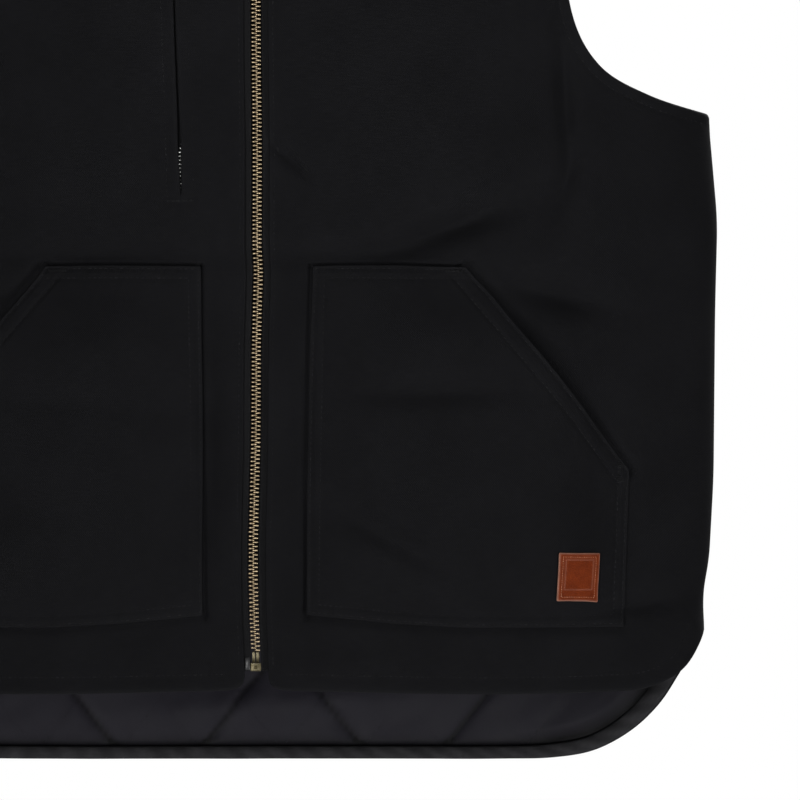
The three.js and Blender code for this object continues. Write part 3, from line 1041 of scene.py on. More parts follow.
def stitched(
    rows: Sequence[Array],
    surface: Place,
    pitch: float = 3.3,
    length: float = 2.7,
    width: float = 0.62,
) -> Shell:
    """Rows of stitches that lie on a cloth.

    Args:
        rows: Lines in X and Z.
        surface: Gives the cloth's points and the ways out of it over places in X and Z.
        pitch: From one stitch to the next.
        length: A stitch's length.
        width: The thread's width.

    Returns:
        All the stitches as one shell.
    """
    shape = stitch_shape(length, width)
    shells = []
    for line in rows:
        run = run_lengths(line)[-1]
        count = max(1, int(run // pitch))
        share = (np.arange(count) + 0.5) / count
        reach = length / 2 / run
        spot, out = surface(*along(line, share).T)
        ahead, _ = surface(*along(line, np.minimum(share + reach, 1)).T)
        behind, _ = surface(*along(line, np.maximum(share - reach, 0)).T)
        way = ahead - behind
        way = unit(way - out * np.sum(way * out, axis=1, keepdims=True))
        turns = np.stack([way, np.cross(out, way), out], axis=1)
        tone = STEADY.uniform(0, 1, count) ** TONE_BIAS
        shells.append(scattered(shape, spot + THREAD_LIFT * width * out, turns, tone))
    return joined(shells)


def bar_tack(start: Sequence[float], end: Sequence[float], width: float, count: int) -> list[Array]:
    """Short lines side by side across a bar, for a dense tack.

    Args:
        start: The bar's start in X and Z.
        end: Its end.
        width: Its width.
        count: How many lines.

    Returns:
        The lines (2, 2).
    """
    line = np.array([start, end], float)
    way = (line[1] - line[0]) / np.linalg.norm(line[1] - line[0])
    side = np.array([-way[1], way[0]]) * width / 2
    spots = along(line, np.linspace(0, 1, count))
    return [np.array([spot - side, spot + side]) for spot in spots]


@dataclass
class SeamRelief:
    """What rows of stitches do to a cloth: a groove along each, and small puckers on both sides of it."""

    rows: Sequence[Array]
    groove: float = 0.5
    breadth: float = 1.7
    pucker: float = 0.2
    pucker_reach: float = 6.5
    pucker_length: float = 8.5
    sway: float = 1.7
    sway_rate: float = 0.23
    fan: float = 0.35

    def height(self, x: Array, z: Array) -> Arrays:
        """Ripples beside each row less a groove along it, by bell curves of the distance.

        Args:
            x: Places across.
            z: Places up.

        Returns:
            The relief, and how near the closest row is.
        """
        total = np.zeros(x.shape)
        close = np.zeros(x.shape)
        for row in self.rows:
            apart, way = nearest(x, z, row)
            narrow = bell(apart, self.breadth)
            wide = bell(apart, self.pucker_reach) - narrow
            phase = 2 * np.pi * way / self.pucker_length
            ripple = np.sin(phase + self.sway * np.sin(phase * self.sway_rate) + self.fan * apart)
            total += self.pucker * wide * ripple - self.groove * narrow
            close = np.maximum(close, narrow)
        return total, close


# Cloth sheets


def unrolled(points: Array, down: Array) -> Array:
    """Places on the flat cloth: the way round the lens from the middle, and the way over the shoulder.

    Args:
        points: Points of the cloth.
        down: Their ways down from the shoulder.

    Returns:
        Places with the shape of down and one more axis of 2.
    """
    share = np.linspace(0, 1, 400) ** 0.5
    depth = BODY.front_depth * (1 - share**BODY.flatness) ** BODY.side_fullness
    half = BODY.side_half[2]
    run = run_lengths(np.stack([share * half, depth], axis=1))
    reach = np.abs(points[..., 0]) / BODY.half_width(down)
    return np.stack([np.sign(points[..., 0]) * np.interp(reach, share, run), -BODY.fall(down)], axis=-1)


@dataclass
class Sheet:
    """How one cloth lies on the body: its face, where its middle lies and its thickness."""

    face: Face
    middle: float
    thick: float
    radius: float = 1.9
    relief: Optional[Place] = None
    lift: Optional[Callable[[Array, Array], Array]] = None
    inside: bool = False
    # Wear along the edges and seams, which on the lining is painted shade instead.
    edge_wear_and_painted_light: Union[float, Array] = 0.14
    edge_reach: float = 2.2
    seam_wear_and_painted_shade: float = 0.03

    def raised(self, x: Array, z: Array) -> tuple[Array, Array, Array]:
        """The middle's distance from the body, the relief and the nearness of seams at places."""
        flat = np.zeros(x.shape)
        base = flat + self.middle + (flat if self.lift is None else self.lift(x, z))
        return (base, *((flat, flat) if self.relief is None else self.relief(x, z)))

    def surface(self, x: Array, z: Array) -> Arrays:
        """The visible skin's points and ways out over places in X and Z."""
        points, out = BODY.place(self.face, x, z)
        base, height, _ = self.raised(x, z)
        way = -1.0 if self.inside else 1.0
        return points + out * (base + way * (self.thick / 2 + height))[:, None], out * way

    def shell(
        self, across: Array, down: Array, gap: Optional[Array] = None, slit: Optional[Slit] = None
    ) -> Shell:
        """The closed sheet over a grid: two skins that meet in a rounded edge, one of them with relief.

        Args:
            across: Shares across the body (rows, columns).
            down: Ways down from the shoulder.
            gap: Distances to a slit.
            slit: The slit's place in the grid.

        Returns:
            The sheet.
        """
        points, out = BODY.skin(self.face, across, down)
        x, z = points[..., 0], points[..., 2]
        rim = rim_distance(points)
        rim = rim if gap is None else np.minimum(rim, gap)
        edge = rounding(rim, self.radius)
        base, height, close = self.raised(x, z)
        upper = self.thick / 2 + (0 if self.inside else height)
        lower = self.thick / 2 + (height if self.inside else 0)
        # On the lining these values are painted shade along its rim and seams; on the duck and the leather
        # they are wear.
        wear = self.edge_wear_and_painted_light * bell(rim, self.edge_reach) + self.seam_wear_and_painted_shade * close
        cloth = unrolled(points, down)
        return wall(points, out, edge * upper + base, edge * lower - base, cloth, wear, slit)


ACROSS_SCALE = 330.0


def on_body(line: Array) -> Array:
    """A line in X and Z as shares across and ways over the shoulder, scaled so that both count alike."""
    across, down = BODY.locate(line[:, 0], line[:, 1])
    return np.stack([across * ACROSS_SCALE, BODY.fall(down)], axis=1)


def off_body(flat: Array) -> Arrays:
    """The shares across and ways down of places that are scaled as on_body scales them."""
    return flat[..., 0] / ACROSS_SCALE, BODY.down(flat[..., 1])


def mirrored(half: Array) -> Array:
    """A line that starts in the middle, with its mirror image before it."""
    return np.vstack([half[::-1] * [-1, 1], half[1:]])


ARMHOLE = ((215, -50), (199, -120), (194, -190), (199, -250), (217, -285), (249, -304), (287, -316))
FRONT_HEM = (
    (285, -629), (280, -650), (268, -668), (246, -678.5), (218, -680.6), (184, -681.7), (150, -682),
    (105, -681.6), (60, -680.6), (34, -680), (20, -679.6), (12.4, -678.2), (8.6, -675.4), (7.5, -670.5),
)
TAIL = (
    (285, -629), (279, -650), (268, -669), (255, -689), (237, -706), (214, -718.3),
    (188, -723), (158, -723.8), (120, -724), (80, -724), (40, -724), (0, -724),
)
NECK_DROP = BODY.round_over * (1 - np.cos(np.pi / 2 * 5 / 8))
NECK_FLAT = 15.0
BACK_NECK_DROP = 16.0
ZIP_OPENING = 7.5
ARMHOLE_MARGIN = 0.5


def neck_curve(flat: float, drop: float, half: float, centre_z: float = 0.0) -> Array:
    """A quarter ellipse from the middle of the neck to the shoulder."""
    turn = np.linspace(-np.pi / 2, 0, 60)
    return np.stack([flat + (half - flat) * np.cos(turn), centre_z + drop * np.sin(turn)], axis=1)


def side_line(foot: float, move: float = 0.0) -> Array:
    """The side seam upwards and the armhole on to the shoulder's tip, on the wearer's left.

    Args:
        foot: The way down at which it starts.
        move: How far the armhole lies inside its edge.

    Returns:
        Points (n, 2) in X and Z.
    """
    arm = smooth_edge(ARMHOLE)[::-1] - move
    reach = BODY.half_width(-arm[:, 1])
    arm = arm[arm[:, 0] < reach]
    down = np.linspace(foot, -arm[0, 1] + 1, 80)
    seam = np.stack([BODY.half_width(down), -down], axis=1)
    return np.vstack([seam, arm])


def shoulder_line(start: Array, end: Array) -> Array:
    """The straight shoulder seam."""
    return np.linspace(start, end, 40)


def back_top(tip: Array, margin: float = 0.0) -> Array:
    """The back's upper edge from tip to tip of the shoulders, which lies a margin inside the neck."""
    neck = neck_curve(0, BACK_NECK_DROP, BODY.neck_half + margin, -margin)
    return mirrored(np.vstack([neck, shoulder_line(neck[-1], tip)[1:]]))


def armhole_seam(side: Array, distance: float) -> Array:
    """A stitch row at a distance inside the armhole's part of a side line."""
    return inset(side[side[:, 1] > ARMHOLE[-1][1] + ARMHOLE_MARGIN], distance)


# The vest's cloth pieces


# A lighter copy of the duck for the tail strip: painted light, as the turned duck there is lit from below.
PAINTED_LIGHT_DUCK = DuckFinish(
    "painted_light_duck", (0.0085, 0.0085, 0.0092), (0.020, 0.0198, 0.0212), (0.028, 0.0277, 0.0297)
)
BLACK_THREAD = ThreadFinish("thread", (0.0030, 0.0030, 0.0035), (0.0190, 0.0190, 0.0206), 0.12)
BROWN_THREAD = ThreadFinish("brown_thread", (0.26, 0.10, 0.055), (0.46, 0.24, 0.15))
AGED_BRASS = BrassFinish("aged_brass", (0.056, 0.047, 0.022), (0.37, 0.325, 0.225))
WHITE_METAL = BrassFinish("white_metal", (0.55, 0.55, 0.54), (0.97, 0.97, 0.95))


@dataclass
class Wardrobe:
    """The finishes that the pieces share, each made once."""

    duck: Material = field(default_factory=DuckFinish().build)
    painted_light_duck: Material = field(default_factory=PAINTED_LIGHT_DUCK.build)
    nylon: Material = field(default_factory=LiningFinish().build)
    tape: Material = field(default_factory=TapeFinish().build)
    thread: Material = field(default_factory=BLACK_THREAD.build)
    brown_thread: Material = field(default_factory=BROWN_THREAD.build)
    brass: Material = field(default_factory=BrassFinish().build)
    aged_brass: Material = field(default_factory=AGED_BRASS.build)
    white_metal: Material = field(default_factory=WHITE_METAL.build)
    leather: Material = field(default_factory=LeatherFinish().build)
    film: Material = field(default_factory=FilmFinish().build)


@dataclass
class FrontPanel:
    """One front of the vest, with its turned edges and, on the right, the chest pocket's slit."""

    side: Side
    thick: float = 3.0
    flat: Pair = (0.36, 0.72)
    flat_area: float = 0.205
    across_length: float = 300.0
    up_length: float = 780.0
    step: float = 2.7
    stand_row: float = 10.7
    stand_foot: float = -664.0
    hem_row: float = 10.5
    hem_end: float = 20.0
    hem_side: float = 8.0
    armhole_row: float = 6.8
    neck_row: float = 3.5
    slit_top: Pair = (52.8, -205.0)
    slit_foot: Pair = (47.6, -367.0)
    slit_zip_share: float = 0.16
    gape: float = 0.4
    zip_gape: float = 0.7
    zip_gape_at: float = 0.17
    zip_gape_span: float = 0.1
    gape_reach: float = 6.0
    gape_stretch: float = 1.1
    tack_width: float = 2.0
    tack_count: int = 22
    tack_stitch: Triple = (2.0, 2.0, 0.6)
    box_half: float = 8.2
    box_over: float = 4.0
    crevice: float = 2.0
    crevice_breadth: float = 1.5
    mouth_crevice: float = 4.5
    mouth_breadth: float = 3.4
    foot_crevice: float = 2.4
    top_guess: float = 0.36
    pocket_lines: tuple[Array, ...] = ()

    def edges(self) -> Edges:
        """The four edges in X and Z on the wearer's left: zip and neck, side and armhole, hem, shoulder."""
        neck = neck_curve(NECK_FLAT, NECK_DROP, BODY.neck_half)
        rise = np.linspace(FRONT_HEM[-1][1], -NECK_DROP, 200)
        zip_edge = np.stack([np.full_like(rise, ZIP_OPENING), rise], axis=1)
        left = np.vstack([zip_edge, neck])
        right = side_line(-FRONT_HEM[0][1])
        foot = smooth_edge(FRONT_HEM)[::-1]
        return left, right, foot, shoulder_line(left[-1], right[-1])

    def box_rows(self) -> list[Array]:
        """The stitched box round the slit, on the wearer's left."""
        line = np.array([self.slit_top, self.slit_foot])
        way = (line[1] - line[0]) / np.linalg.norm(line[1] - line[0])
        side = np.array([way[1], -way[0]]) * self.box_half
        top = line[0] - way * self.box_over
        foot = line[1] + way * self.box_over
        return [np.array([top - side, foot - side, foot + side, top + side, top - side])]

    def rows(self) -> list[Array]:
        """The stitch rows, laid out on the wearer's left: zip, hem, armhole, neck and any slit's box."""
        _, right, foot, _ = self.edges()
        ends = (self.stand_foot, -NECK_DROP - self.neck_row)
        stand = np.array([[self.stand_row, end] for end in ends])
        hem = inset(foot, self.hem_row)
        hem = hem[(hem[:, 0] > self.hem_end) & (hem[:, 1] < FRONT_HEM[0][1] - self.hem_side)]
        arm = armhole_seam(right, self.armhole_row)
        neck = inset(neck_curve(NECK_FLAT, NECK_DROP, BODY.neck_half), -self.neck_row)
        stretches = [stand, hem, arm, neck]
        return stretches + (self.box_rows() if self.side is Side.RIGHT else [])

    def sheet(self) -> Sheet:
        """How the cloth lies."""
        seams = SeamRelief(self.rows())
        crevices = (
            SeamRelief(self.pocket_lines[:2], self.crevice, self.crevice_breadth, 0.0),
            SeamRelief(self.pocket_lines[2:3], self.mouth_crevice, self.mouth_breadth, 0.0),
            SeamRelief(self.pocket_lines[3:], self.foot_crevice, self.mouth_breadth, 0.0),
        )

        def relief(x: Array, z: Array) -> Arrays:
            """The seams' relief with the crevices round the pocket."""
            out = x * self.side.value
            height, close = seams.height(out, z)
            return height + sum(crevice.height(out, z)[0] for crevice in crevices), close

        return Sheet(Face.FRONT, 0.0, self.thick, relief=relief)

    def grid(self) -> tuple[Array, Array, Optional[Array], Optional[Slit]]:
        """The grid of shares across and ways down, with the distances to a slit and its place, if any."""
        edges = tuple(on_body(line) for line in self.edges())
        fine_u, fine_v = self.crevice_shares(edges)
        v = graded(self.up_length, self.step, [fine_v * self.up_length])[:, None]
        if self.side is Side.LEFT:
            u = graded(self.across_length, self.step, [fine_u * self.across_length])[None]
            return (*off_body(coons(edges, u, v)), None, None)
        meet, first, last = self.slit_course(edges, v)
        span = self.slit_zip_share * self.across_length
        inner = graded(span, self.step, [span * fine_u / meet[0, 0]])[None]
        outer = crowded((1 - self.slit_zip_share) * self.across_length, self.step)[None]
        u = np.concatenate([meet * inner, meet + (1 - meet) * outer], axis=1)
        across, down = off_body(coons(edges, u, v))
        column = inner.shape[1] - 1
        rows = np.arange(len(v))
        inside = np.clip((rows - first) / (last - first), 0, 1)[:, None]
        parted = self.gape + self.zip_gape * bell(inside - self.zip_gape_at, self.zip_gape_span)
        gape = np.sqrt(np.sin(np.pi * inside)) * parted
        way = np.where(np.arange(u.shape[1]) <= column, -1, 1)[None]
        reach = np.abs(u - meet) * self.across_length
        across = across + way * gape * bell(reach, self.gape_reach) / (ACROSS_SCALE * self.gape_stretch)
        gap = np.where((inside > 0) & (inside < 1), reach, FAR)
        beyond = np.hypot(reach, np.minimum(np.abs(rows - first), np.abs(rows - last))[:, None] * self.step)
        gap = np.minimum(gap, beyond)
        return across, down, gap, Slit(column, first, last)

    def crevice_shares(self, edges: tuple[Array, ...]) -> Pair:
        """Where the pocket's edges lie in the grid, read off the patch's own lines in three rounds.

        Args:
            edges: The grid's edges.

        Returns:
            The share across of the inner edge and the share up of the top edge.
        """
        share = np.linspace(0, 1, 800)
        inner, top = self.pocket_lines[0].mean(axis=0), self.pocket_lines[1].mean(axis=0)
        up = self.top_guess
        for _ in range(3):
            spot = BODY.point(Face.FRONT, *off_body(coons(edges, share, up)))
            middle = float(np.interp(top[0], spot[:, 0], share))
            rise = BODY.point(Face.FRONT, *off_body(coons(edges, middle, share)))
            up = float(np.interp(top[1], rise[:, 2], share))
        low = float(np.interp(inner[1], rise[:, 2], share))
        spot = BODY.point(Face.FRONT, *off_body(coons(edges, share, low)))
        return float(np.interp(inner[0], spot[:, 0], share)), up

    def slit_course(self, edges: tuple[Array, ...], v: Array) -> tuple[Array, int, int]:
        """Where the slit crosses each row of the grid.

        Args:
            edges: The grid's edges.
            v: Shares up, one a row.

        Returns:
            The share across for each row, and the first and last row that the slit opens.
        """
        steps = 500
        spot = BODY.point(Face.FRONT, *off_body(coons(edges, np.linspace(0, 1, steps)[None], v)))
        (x1, z1), (x0, z0) = self.slit_top, self.slit_foot
        wish = x0 + (spot[..., 2] - z0) * (x1 - x0) / (z1 - z0)
        column = np.argmin(np.abs(spot[..., 0] - wish), axis=1)
        rows = np.arange(len(v))
        height = spot[rows, column, 2]
        opened = rows[(height > z0) & (height < z1)]
        offset = spot[..., 0] - wish
        low = np.maximum(column - 1, 0)
        share = -offset[rows, low] / np.maximum(offset[rows, low + 1] - offset[rows, low], TINY)
        meet = (low + np.clip(share, -1, 2)) / (steps - 1)
        first, last = int(opened[0]), int(opened[-1])
        return np.interp(rows, rows[first : last + 1], meet[first : last + 1])[:, None], first, last

    def build(self, wardrobe: Wardrobe) -> None:
        """Makes the cloth and its stitches."""
        name = self.side.name.lower()
        across, down, gap, slit = self.grid()
        sheet = self.sheet()
        shell = sheet.shell(self.side.value * across, down, gap, slit)
        cloth = make_piece(f"front_{name}", shell, wardrobe.duck, [f"front_panel_{name}"])
        rows = [row * [self.side.value, 1] for row in self.rows()]
        shells = [stitched(rows, sheet.surface)]
        if self.side is Side.RIGHT:
            foot = rows[-1][1:3]
            tack = bar_tack(foot[0], foot[1], self.tack_width, self.tack_count)
            shells.append(stitched(tack, sheet.surface, *self.tack_stitch))
        make_piece(f"stitches_front_{name}", joined(shells), wardrobe.thread)


@dataclass
class BackPanel:
    """The back with its drop tail."""

    thick: float = 2.0
    flat: Pair = (0.68, 0.76)
    flat_area: float = 0.45
    across_length: float = 640.0
    up_length: float = 840.0
    step: float = 3.6
    tail_row: float = 9.0
    tail_side: float = 6.0
    armhole_row: float = 6.8
    shoulder_row: float = 5.0
    ridge_start: Pair = (90.0, 0.0)
    ridge_end: Pair = (207.0, -47.0)

    def edges(self) -> Edges:
        """The four edges in X and Z: both sides with armholes, the tail, and the neck with shoulders."""
        right = side_line(-TAIL[0][1])
        left = right * [-1, 1]
        return left, right, mirrored(smooth_edge(TAIL)[::-1]), back_top(right[-1])

    def rows(self) -> list[Array]:
        """The stitch rows: tail, armholes, shoulders."""
        _, right, foot, _ = self.edges()
        tail = inset(foot, self.tail_row)
        tail = tail[tail[:, 1] < TAIL[0][1] - self.tail_side]
        arm = armhole_seam(right, self.armhole_row)
        slope = shoulder_line(np.array(self.ridge_start), np.array(self.ridge_end))
        ridge = slope - [0, self.shoulder_row]
        return [tail, arm, arm * [-1, 1], ridge, ridge * [-1, 1]]

    def build(self, wardrobe: Wardrobe) -> None:
        """Makes the cloth and its stitches."""
        edges = tuple(on_body(line) for line in self.edges())
        u = crowded(self.across_length, self.step)[None]
        v = crowded(self.up_length, self.step)[:, None]
        flat = coons(edges, u, v)
        rows = self.rows()
        sheet = Sheet(Face.BACK, 0.0, self.thick, radius=1.5, relief=SeamRelief(rows).height)
        shell = sheet.shell(*off_body(flat))
        cloth = make_piece("back", shell, wardrobe.duck, ["back_panel"])
        make_piece("stitches_back", stitched(rows, sheet.surface), wardrobe.thread)


@dataclass
class TailStrip:
    """The strip of duck turned to the inside along the tail's edge."""

    thick: float = 2.5
    middle: float = -2.55
    side_width: float = 12.0
    bottom_width: float = 8.0
    top: float = -634.0
    steps: int = 520
    across_steps: int = 16
    flat: Pair = (0.012, 0.79)
    twist: float = 0.32
    twist_length: float = 17.0
    slant: float = 0.45
    slow_length: float = 41.0
    swell: float = 1.2
    radius: float = 1.6
    edge_wear_and_painted_light: float = 0.85
    wear_fall: float = 0.5
    ripple_highlight: float = 0.25

    def upper_edge(self, edge: Array, extra: float = 0.0) -> Array:
        """The strip's upper edge on the wearer's left: the tail's edge moved in by a width that shrinks."""
        share = np.linspace(0, 2, len(edge)).clip(0, 1)
        width = self.side_width + (self.bottom_width - self.side_width) * share + extra
        moved = inset(edge, -1.0) - edge
        return edge + moved * width[:, None]

    def both(self, extra: float) -> Arrays:
        """The tail's edge and the strip's upper edge from side to side.

        Args:
            extra: How much wider than the strip.

        Returns:
            Two lines (n, 2) in X and Z.
        """
        half = along(smooth_edge(TAIL), np.linspace(0, 1, 300))
        upper = self.upper_edge(half, extra)
        keep = half[:, 1] <= self.top
        half, upper = half[keep], upper[keep]
        return mirrored(half[::-1]), mirrored(upper[::-1])

    def build(self, wardrobe: Wardrobe) -> None:
        """Makes the strip as a rolled band: a rounded profile across, with slanting ripples along it."""
        low, high = self.both(0.0)
        s = np.linspace(0, 1, self.steps)[:, None]
        t = (0.5 - 0.5 * np.cos(np.pi * np.linspace(0, 1, self.across_steps)))[None]
        share = t[..., None]
        line = along(low, s[:, 0])[:, None] * (1 - share) + along(high, s[:, 0])[:, None] * share
        across, down = BODY.locate(line[..., 0], line[..., 1])
        run = run_lengths(low)[-1]
        ripple = self.twist * np.sin(2 * np.pi * (s * run / self.twist_length + self.slant * t))
        ripple = ripple + 0.5 * self.twist * np.sin(2 * np.pi * s * run / self.slow_length + 1)
        swell = self.swell * np.sin(np.pi * t) + ripple
        points, out = BODY.skin(Face.BACK, across, down)
        edge = rounding(rim_distance(points), self.radius)
        above = edge * self.thick / 2 + self.middle
        below = edge * (self.thick / 2 + swell) - self.middle
        # Paler towards the folded outer edge, with a painted highlight on the ripples' crests.
        wear = self.edge_wear_and_painted_light - self.wear_fall * t + self.ripple_highlight * ripple / self.twist
        shell = wall(points, out, above, below, unrolled(points, down), np.clip(wear, 0, 1))
        # The strip takes the lighter copy of the duck, which is painted light.
        strip = make_piece("tail_strip", shell, wardrobe.painted_light_duck, ["tail_hem_strip"])


@dataclass
class Lining:
    """The quilted nylon inside the back: pads between slanting seams."""

    offset: float = -1.3
    seam_thick: float = 1.7
    puff: float = 2.5
    pinch: float = 3.2
    weak: float = 0.06
    strong_seams: tuple[tuple[int, ...], ...] = ((0, 3, -4), (0, -3))
    seam_breadth: float = 1.9
    seam_shade: float = 0.9
    seam_stitch: Triple = (3.0, 2.3, 0.34)
    seams_aside: int = 7
    shown_z: Row = (-714.5, -690, -640, -560)
    shown_half: Row = (195, 225, 250, 255)
    crumple: float = 0.25
    crumple_lengths: Row = (5.1, 17, 6.3, 13)
    crumple_sways: Pair = (2.2, 1.4)
    corner_from: float = 140.0
    corner_fade: float = 60.0
    corner_reach: float = 8.5
    corner_dip: float = 3.0
    # Painted shade along the rim, in the tail's corners and towards the wearer's left.
    edge_shade: float = 0.95
    edge_reach: float = 4.5
    corner_shade: float = 0.45
    shade_fade: float = 50.0
    far_shade: float = 0.22
    far_from: float = 70.0
    far_fade: float = 150.0
    strip_stride: int = 12
    slope: float = 1.25
    rise_pitch: float = 51.4
    rise_start: float = -19.8
    drop_pitch: float = 52.3
    drop_start: float = 52.6
    level: float = -698.0
    reach: float = 0.94
    margin: float = 4.0
    clearance: float = 0.3
    across_length: float = 600.0
    up_length: float = 800.0
    step: float = 2.5
    fine_step: float = 1.5
    fine_height: float = 90.0
    coarse_step: float = 6.0
    flat: Pair = (0.64, 0.74)
    flat_area: float = 0.41
    roll: float = 4.5

    def phases(self, x: Array, z: Array) -> Arrays:
        """How many seams of each slant lie before a place."""
        lean = (z - self.level) / self.slope
        rising = (x - self.rise_start - lean) / self.rise_pitch
        return rising, (x - self.drop_start + lean) / self.drop_pitch

    def pads(self, x: Array, z: Array) -> Arrays:
        """The pads' height, which each seam pinches by e to the minus distance and the tail's corners dip.

        Args:
            x: Places across.
            z: Places up.

        Returns:
            Heights, and how dark each place is: near a seam, and painted shade in the tail's corners and
                towards the wearer's left.
        """
        left = np.ones(x.shape)
        close = np.zeros(x.shape)
        slants = zip(self.phases(x, z), (self.rise_pitch, self.drop_pitch), self.strong_seams)
        for phase, pitch, strong in slants:
            index = np.round(phase)
            apart = np.abs(phase - index) * pitch * np.sin(np.arctan(self.slope))
            strength = np.where(np.isin(index, strong), 1.0, self.weak)
            left = left * (1 - strength * np.exp(-apart / self.pinch))
            close = np.maximum(close, strength * bell(apart, self.seam_breadth))
        wide, slow, tall, long = self.crumple_lengths
        first, second = self.crumple_sways
        crumple = self.crumple * np.sin(x / wide + first * np.sin(z / slow))
        crumple = crumple * np.sin(z / tall + second * np.sin(x / long))
        # Painted shade: darker beside the strip in the tail's corners, and darker towards the wearer's
        # left.
        apart, _ = nearest(x, z, TailStrip().both(self.clearance)[1][:: self.strip_stride])
        corner = ease(np.abs(x) - self.corner_from, self.corner_fade) * bell(apart, self.corner_reach)
        corner = np.maximum(corner, self.far_shade * ease(x - self.far_from, self.far_fade))
        return (self.puff + crumple) * left - self.corner_dip * corner, np.maximum(close, corner)

    def edges(self) -> Edges:
        """The four edges in X and Z: inside the sides and armholes, along the strip, and below the neck."""
        _, foot = TailStrip().both(self.clearance)
        right = side_line(-foot[-1, 1], self.margin)
        half = BODY.half_width(-right[:, 1]) * (1 - (1 - self.reach) ** BODY.crowding)
        right = np.stack([np.minimum(right[:, 0], half), right[:, 1]], axis=1)
        foot = foot.copy()
        foot[:, 0] = np.clip(foot[:, 0], -right[0, 0], right[0, 0])
        right[0] = foot[-1]
        return right * [-1, 1], right, foot, back_top(right[-1], self.margin)

    def seam_rows(self) -> list[Array]:
        """The quilting rows that show below the front hem."""
        rows = []
        z = np.linspace(self.shown_z[0], self.shown_z[-1], 60)
        half = np.interp(z, self.shown_z, self.shown_half)
        for start, pitch, slope in (
            (self.rise_start, self.rise_pitch, self.slope),
            (self.drop_start, self.drop_pitch, -self.slope),
        ):
            for k in range(-self.seams_aside, self.seams_aside):
                x = start + k * pitch + (z - self.level) / slope
                inside = np.abs(x) < half
                if inside.sum() > 3:
                    rows.append(np.stack([x[inside], z[inside]], axis=1))
        return rows

    def build(self, wardrobe: Wardrobe) -> None:
        """Makes the lining and its quilting stitches."""
        edges = tuple(on_body(line) for line in self.edges())
        u = crowded(self.across_length, self.step)[None]
        low = np.linspace(0, self.fine_height, round(self.fine_height / self.fine_step), endpoint=False)
        rest = crowded(self.up_length, self.coarse_step) * self.up_length
        v = np.concatenate([low, rest[rest >= self.fine_height]])[:, None] / self.up_length
        across, down = off_body(coons(edges, u, v))
        across_mm = BODY.point(Face.BACK, across, down)[..., 0]
        # Painted shade along the lining's rim, weaker beyond the tail's corners.
        fading = ease(np.abs(across_mm) - self.corner_from, self.shade_fade)
        sheet = Sheet(
            Face.BACK,
            self.offset - self.seam_thick / 2,
            self.seam_thick,
            radius=self.roll,
            relief=self.pads,
            inside=True,
            edge_wear_and_painted_light=self.edge_shade - (self.edge_shade - self.corner_shade) * fading,
            edge_reach=self.edge_reach,
            seam_wear_and_painted_shade=self.seam_shade,
        )
        shell = sheet.shell(across, down)
        cloth = make_piece("lining", shell, wardrobe.nylon, ["back_lining"])
        seams = stitched(self.seam_rows(), sheet.surface, *self.seam_stitch)
        make_piece("stitches_lining", seams, wardrobe.nylon)


